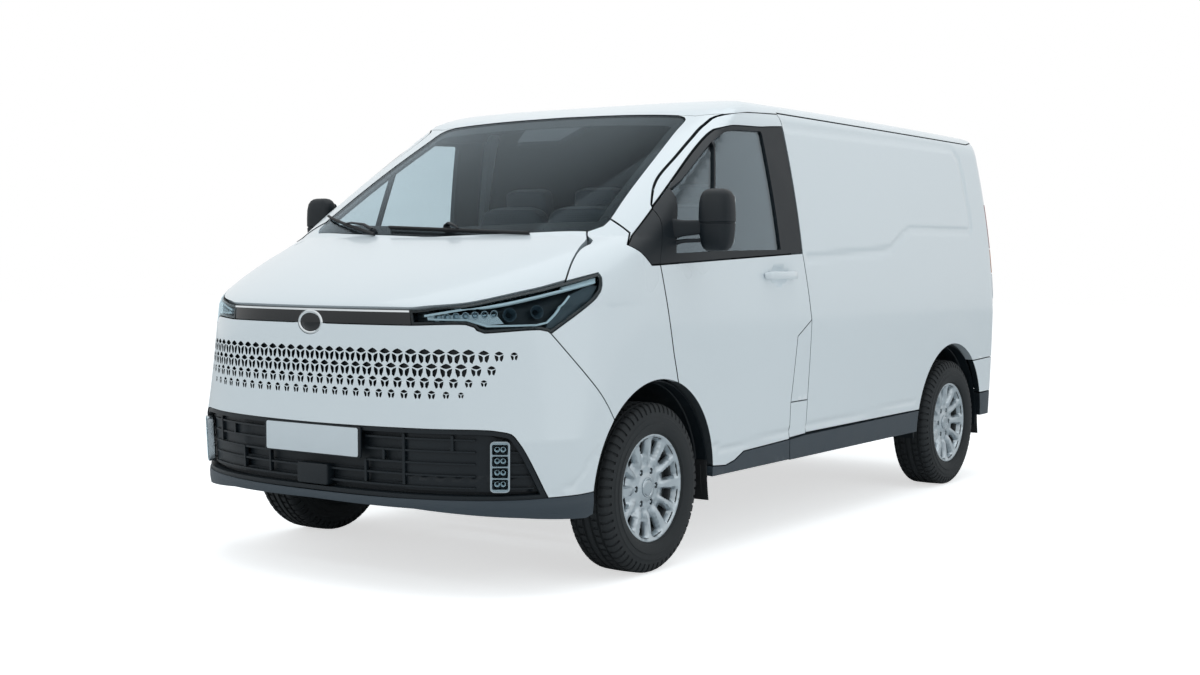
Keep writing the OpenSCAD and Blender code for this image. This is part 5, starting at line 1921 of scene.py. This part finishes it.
class VAN_OT_front_trim(bpy.types.Operator):
    """Builds the grille, lip and light bar"""
    bl_idname = "van.front_trim"
    bl_label = "Front trim"

    def execute(self, context):
        make_front_trim(context.scene.van_settings)
        return {"FINISHED"}


class VAN_OT_wheels(bpy.types.Operator):
    """Builds the four wheels and tyres"""
    bl_idname = "van.wheels"
    bl_label = "Wheels and tyres"

    def execute(self, context):
        make_wheels()
        return {"FINISHED"}


class VAN_OT_arches(bpy.types.Operator):
    """Lines the wheel arches"""
    bl_idname = "van.arches"
    bl_label = "Arch liners and mud flaps"

    def execute(self, context):
        make_arches()
        return {"FINISHED"}


class VAN_OT_headlamps(bpy.types.Operator):
    """Builds the headlamps"""
    bl_idname = "van.headlamps"
    bl_label = "Headlamps"

    def execute(self, context):
        make_headlamps()
        return {"FINISHED"}


class VAN_OT_fog_lamps(bpy.types.Operator):
    """Builds the fog lamps and plates"""
    bl_idname = "van.fog_lamps"
    bl_label = "Fog lamps and plates"

    def execute(self, context):
        make_fog_lamps()
        return {"FINISHED"}


class VAN_OT_badge(bpy.types.Operator):
    """Builds the bare oval on the nose"""
    bl_idname = "van.badge"
    bl_label = "Nose oval"

    def execute(self, context):
        make_badge()
        return {"FINISHED"}


class VAN_OT_mirrors(bpy.types.Operator):
    """Builds the door mirrors"""
    bl_idname = "van.mirrors"
    bl_label = "Mirrors"

    def execute(self, context):
        make_mirrors()
        return {"FINISHED"}


class VAN_OT_handles(bpy.types.Operator):
    """Builds the door handles"""
    bl_idname = "van.handles"
    bl_label = "Handles"

    def execute(self, context):
        make_handles()
        return {"FINISHED"}


class VAN_OT_wipers(bpy.types.Operator):
    """Builds the windscreen wipers"""
    bl_idname = "van.wipers"
    bl_label = "Wipers"

    def execute(self, context):
        make_wipers()
        return {"FINISHED"}


class VAN_OT_dashboard(bpy.types.Operator):
    """Fits out the cab's front"""
    bl_idname = "van.dashboard"
    bl_label = "Dashboard and steering wheel"

    def execute(self, context):
        make_dashboard()
        return {"FINISHED"}


class VAN_OT_seats(bpy.types.Operator):
    """Builds the seats"""
    bl_idname = "van.seats"
    bl_label = "Seats"

    def execute(self, context):
        make_seats()
        return {"FINISHED"}


class VAN_OT_carried(bpy.types.Operator):
    """Gives the carried parts their finishes"""
    bl_idname = "van.carried"
    bl_label = "Carried parts"

    def execute(self, context):
        carry_nodes()
        return {"FINISHED"}


class VAN_OT_stage(bpy.types.Operator):
    """Builds the floor, lights and camera"""
    bl_idname = "van.stage"
    bl_label = "Stage"

    def execute(self, context):
        make_stage(context.scene.van_settings)
        return {"FINISHED"}


# In the order in which they run
OPERATORS = (
    VAN_OT_finishes,
    VAN_OT_body_sides,
    VAN_OT_nose,
    VAN_OT_glass,
    VAN_OT_doors,
    VAN_OT_rear,
    VAN_OT_front_trim,
    VAN_OT_wheels,
    VAN_OT_arches,
    VAN_OT_headlamps,
    VAN_OT_fog_lamps,
    VAN_OT_badge,
    VAN_OT_mirrors,
    VAN_OT_handles,
    VAN_OT_wipers,
    VAN_OT_dashboard,
    VAN_OT_seats,
    VAN_OT_carried,
    VAN_OT_stage,
)


class VAN_PT_sidebar(bpy.types.Panel):
    """Lists the van's operators and settings."""
    bl_label = "Panel Van"
    bl_idname = "VAN_PT_sidebar"
    bl_space_type = "VIEW_3D"
    bl_region_type = "UI"
    bl_category = "Panel Van"

    def draw(self, context):
        """Shows every setting, then a button for every operator."""
        for name in VanSettings.__annotations__:
            self.layout.prop(context.scene.van_settings, name)
        for made in OPERATORS:
            self.layout.operator(made.bl_idname)


def register():
    """Registers the classes and hangs the settings on the scene."""
    for c in (VanSettings, *OPERATORS, VAN_PT_sidebar):
        bpy.utils.register_class(c)
    bpy.types.Scene.van_settings = bpy.props.PointerProperty(type=VanSettings)


def unregister():
    """Takes the settings and the classes away again."""
    del bpy.types.Scene.van_settings
    for c in (VAN_PT_sidebar, *reversed(OPERATORS), VanSettings):
        bpy.utils.unregister_class(c)


def main():
    """Builds the van and its stage."""
    register()
    for made in OPERATORS:
        getattr(bpy.ops.van, made.bl_idname.split(".")[1])()


if __name__ == "__main__":
    main()
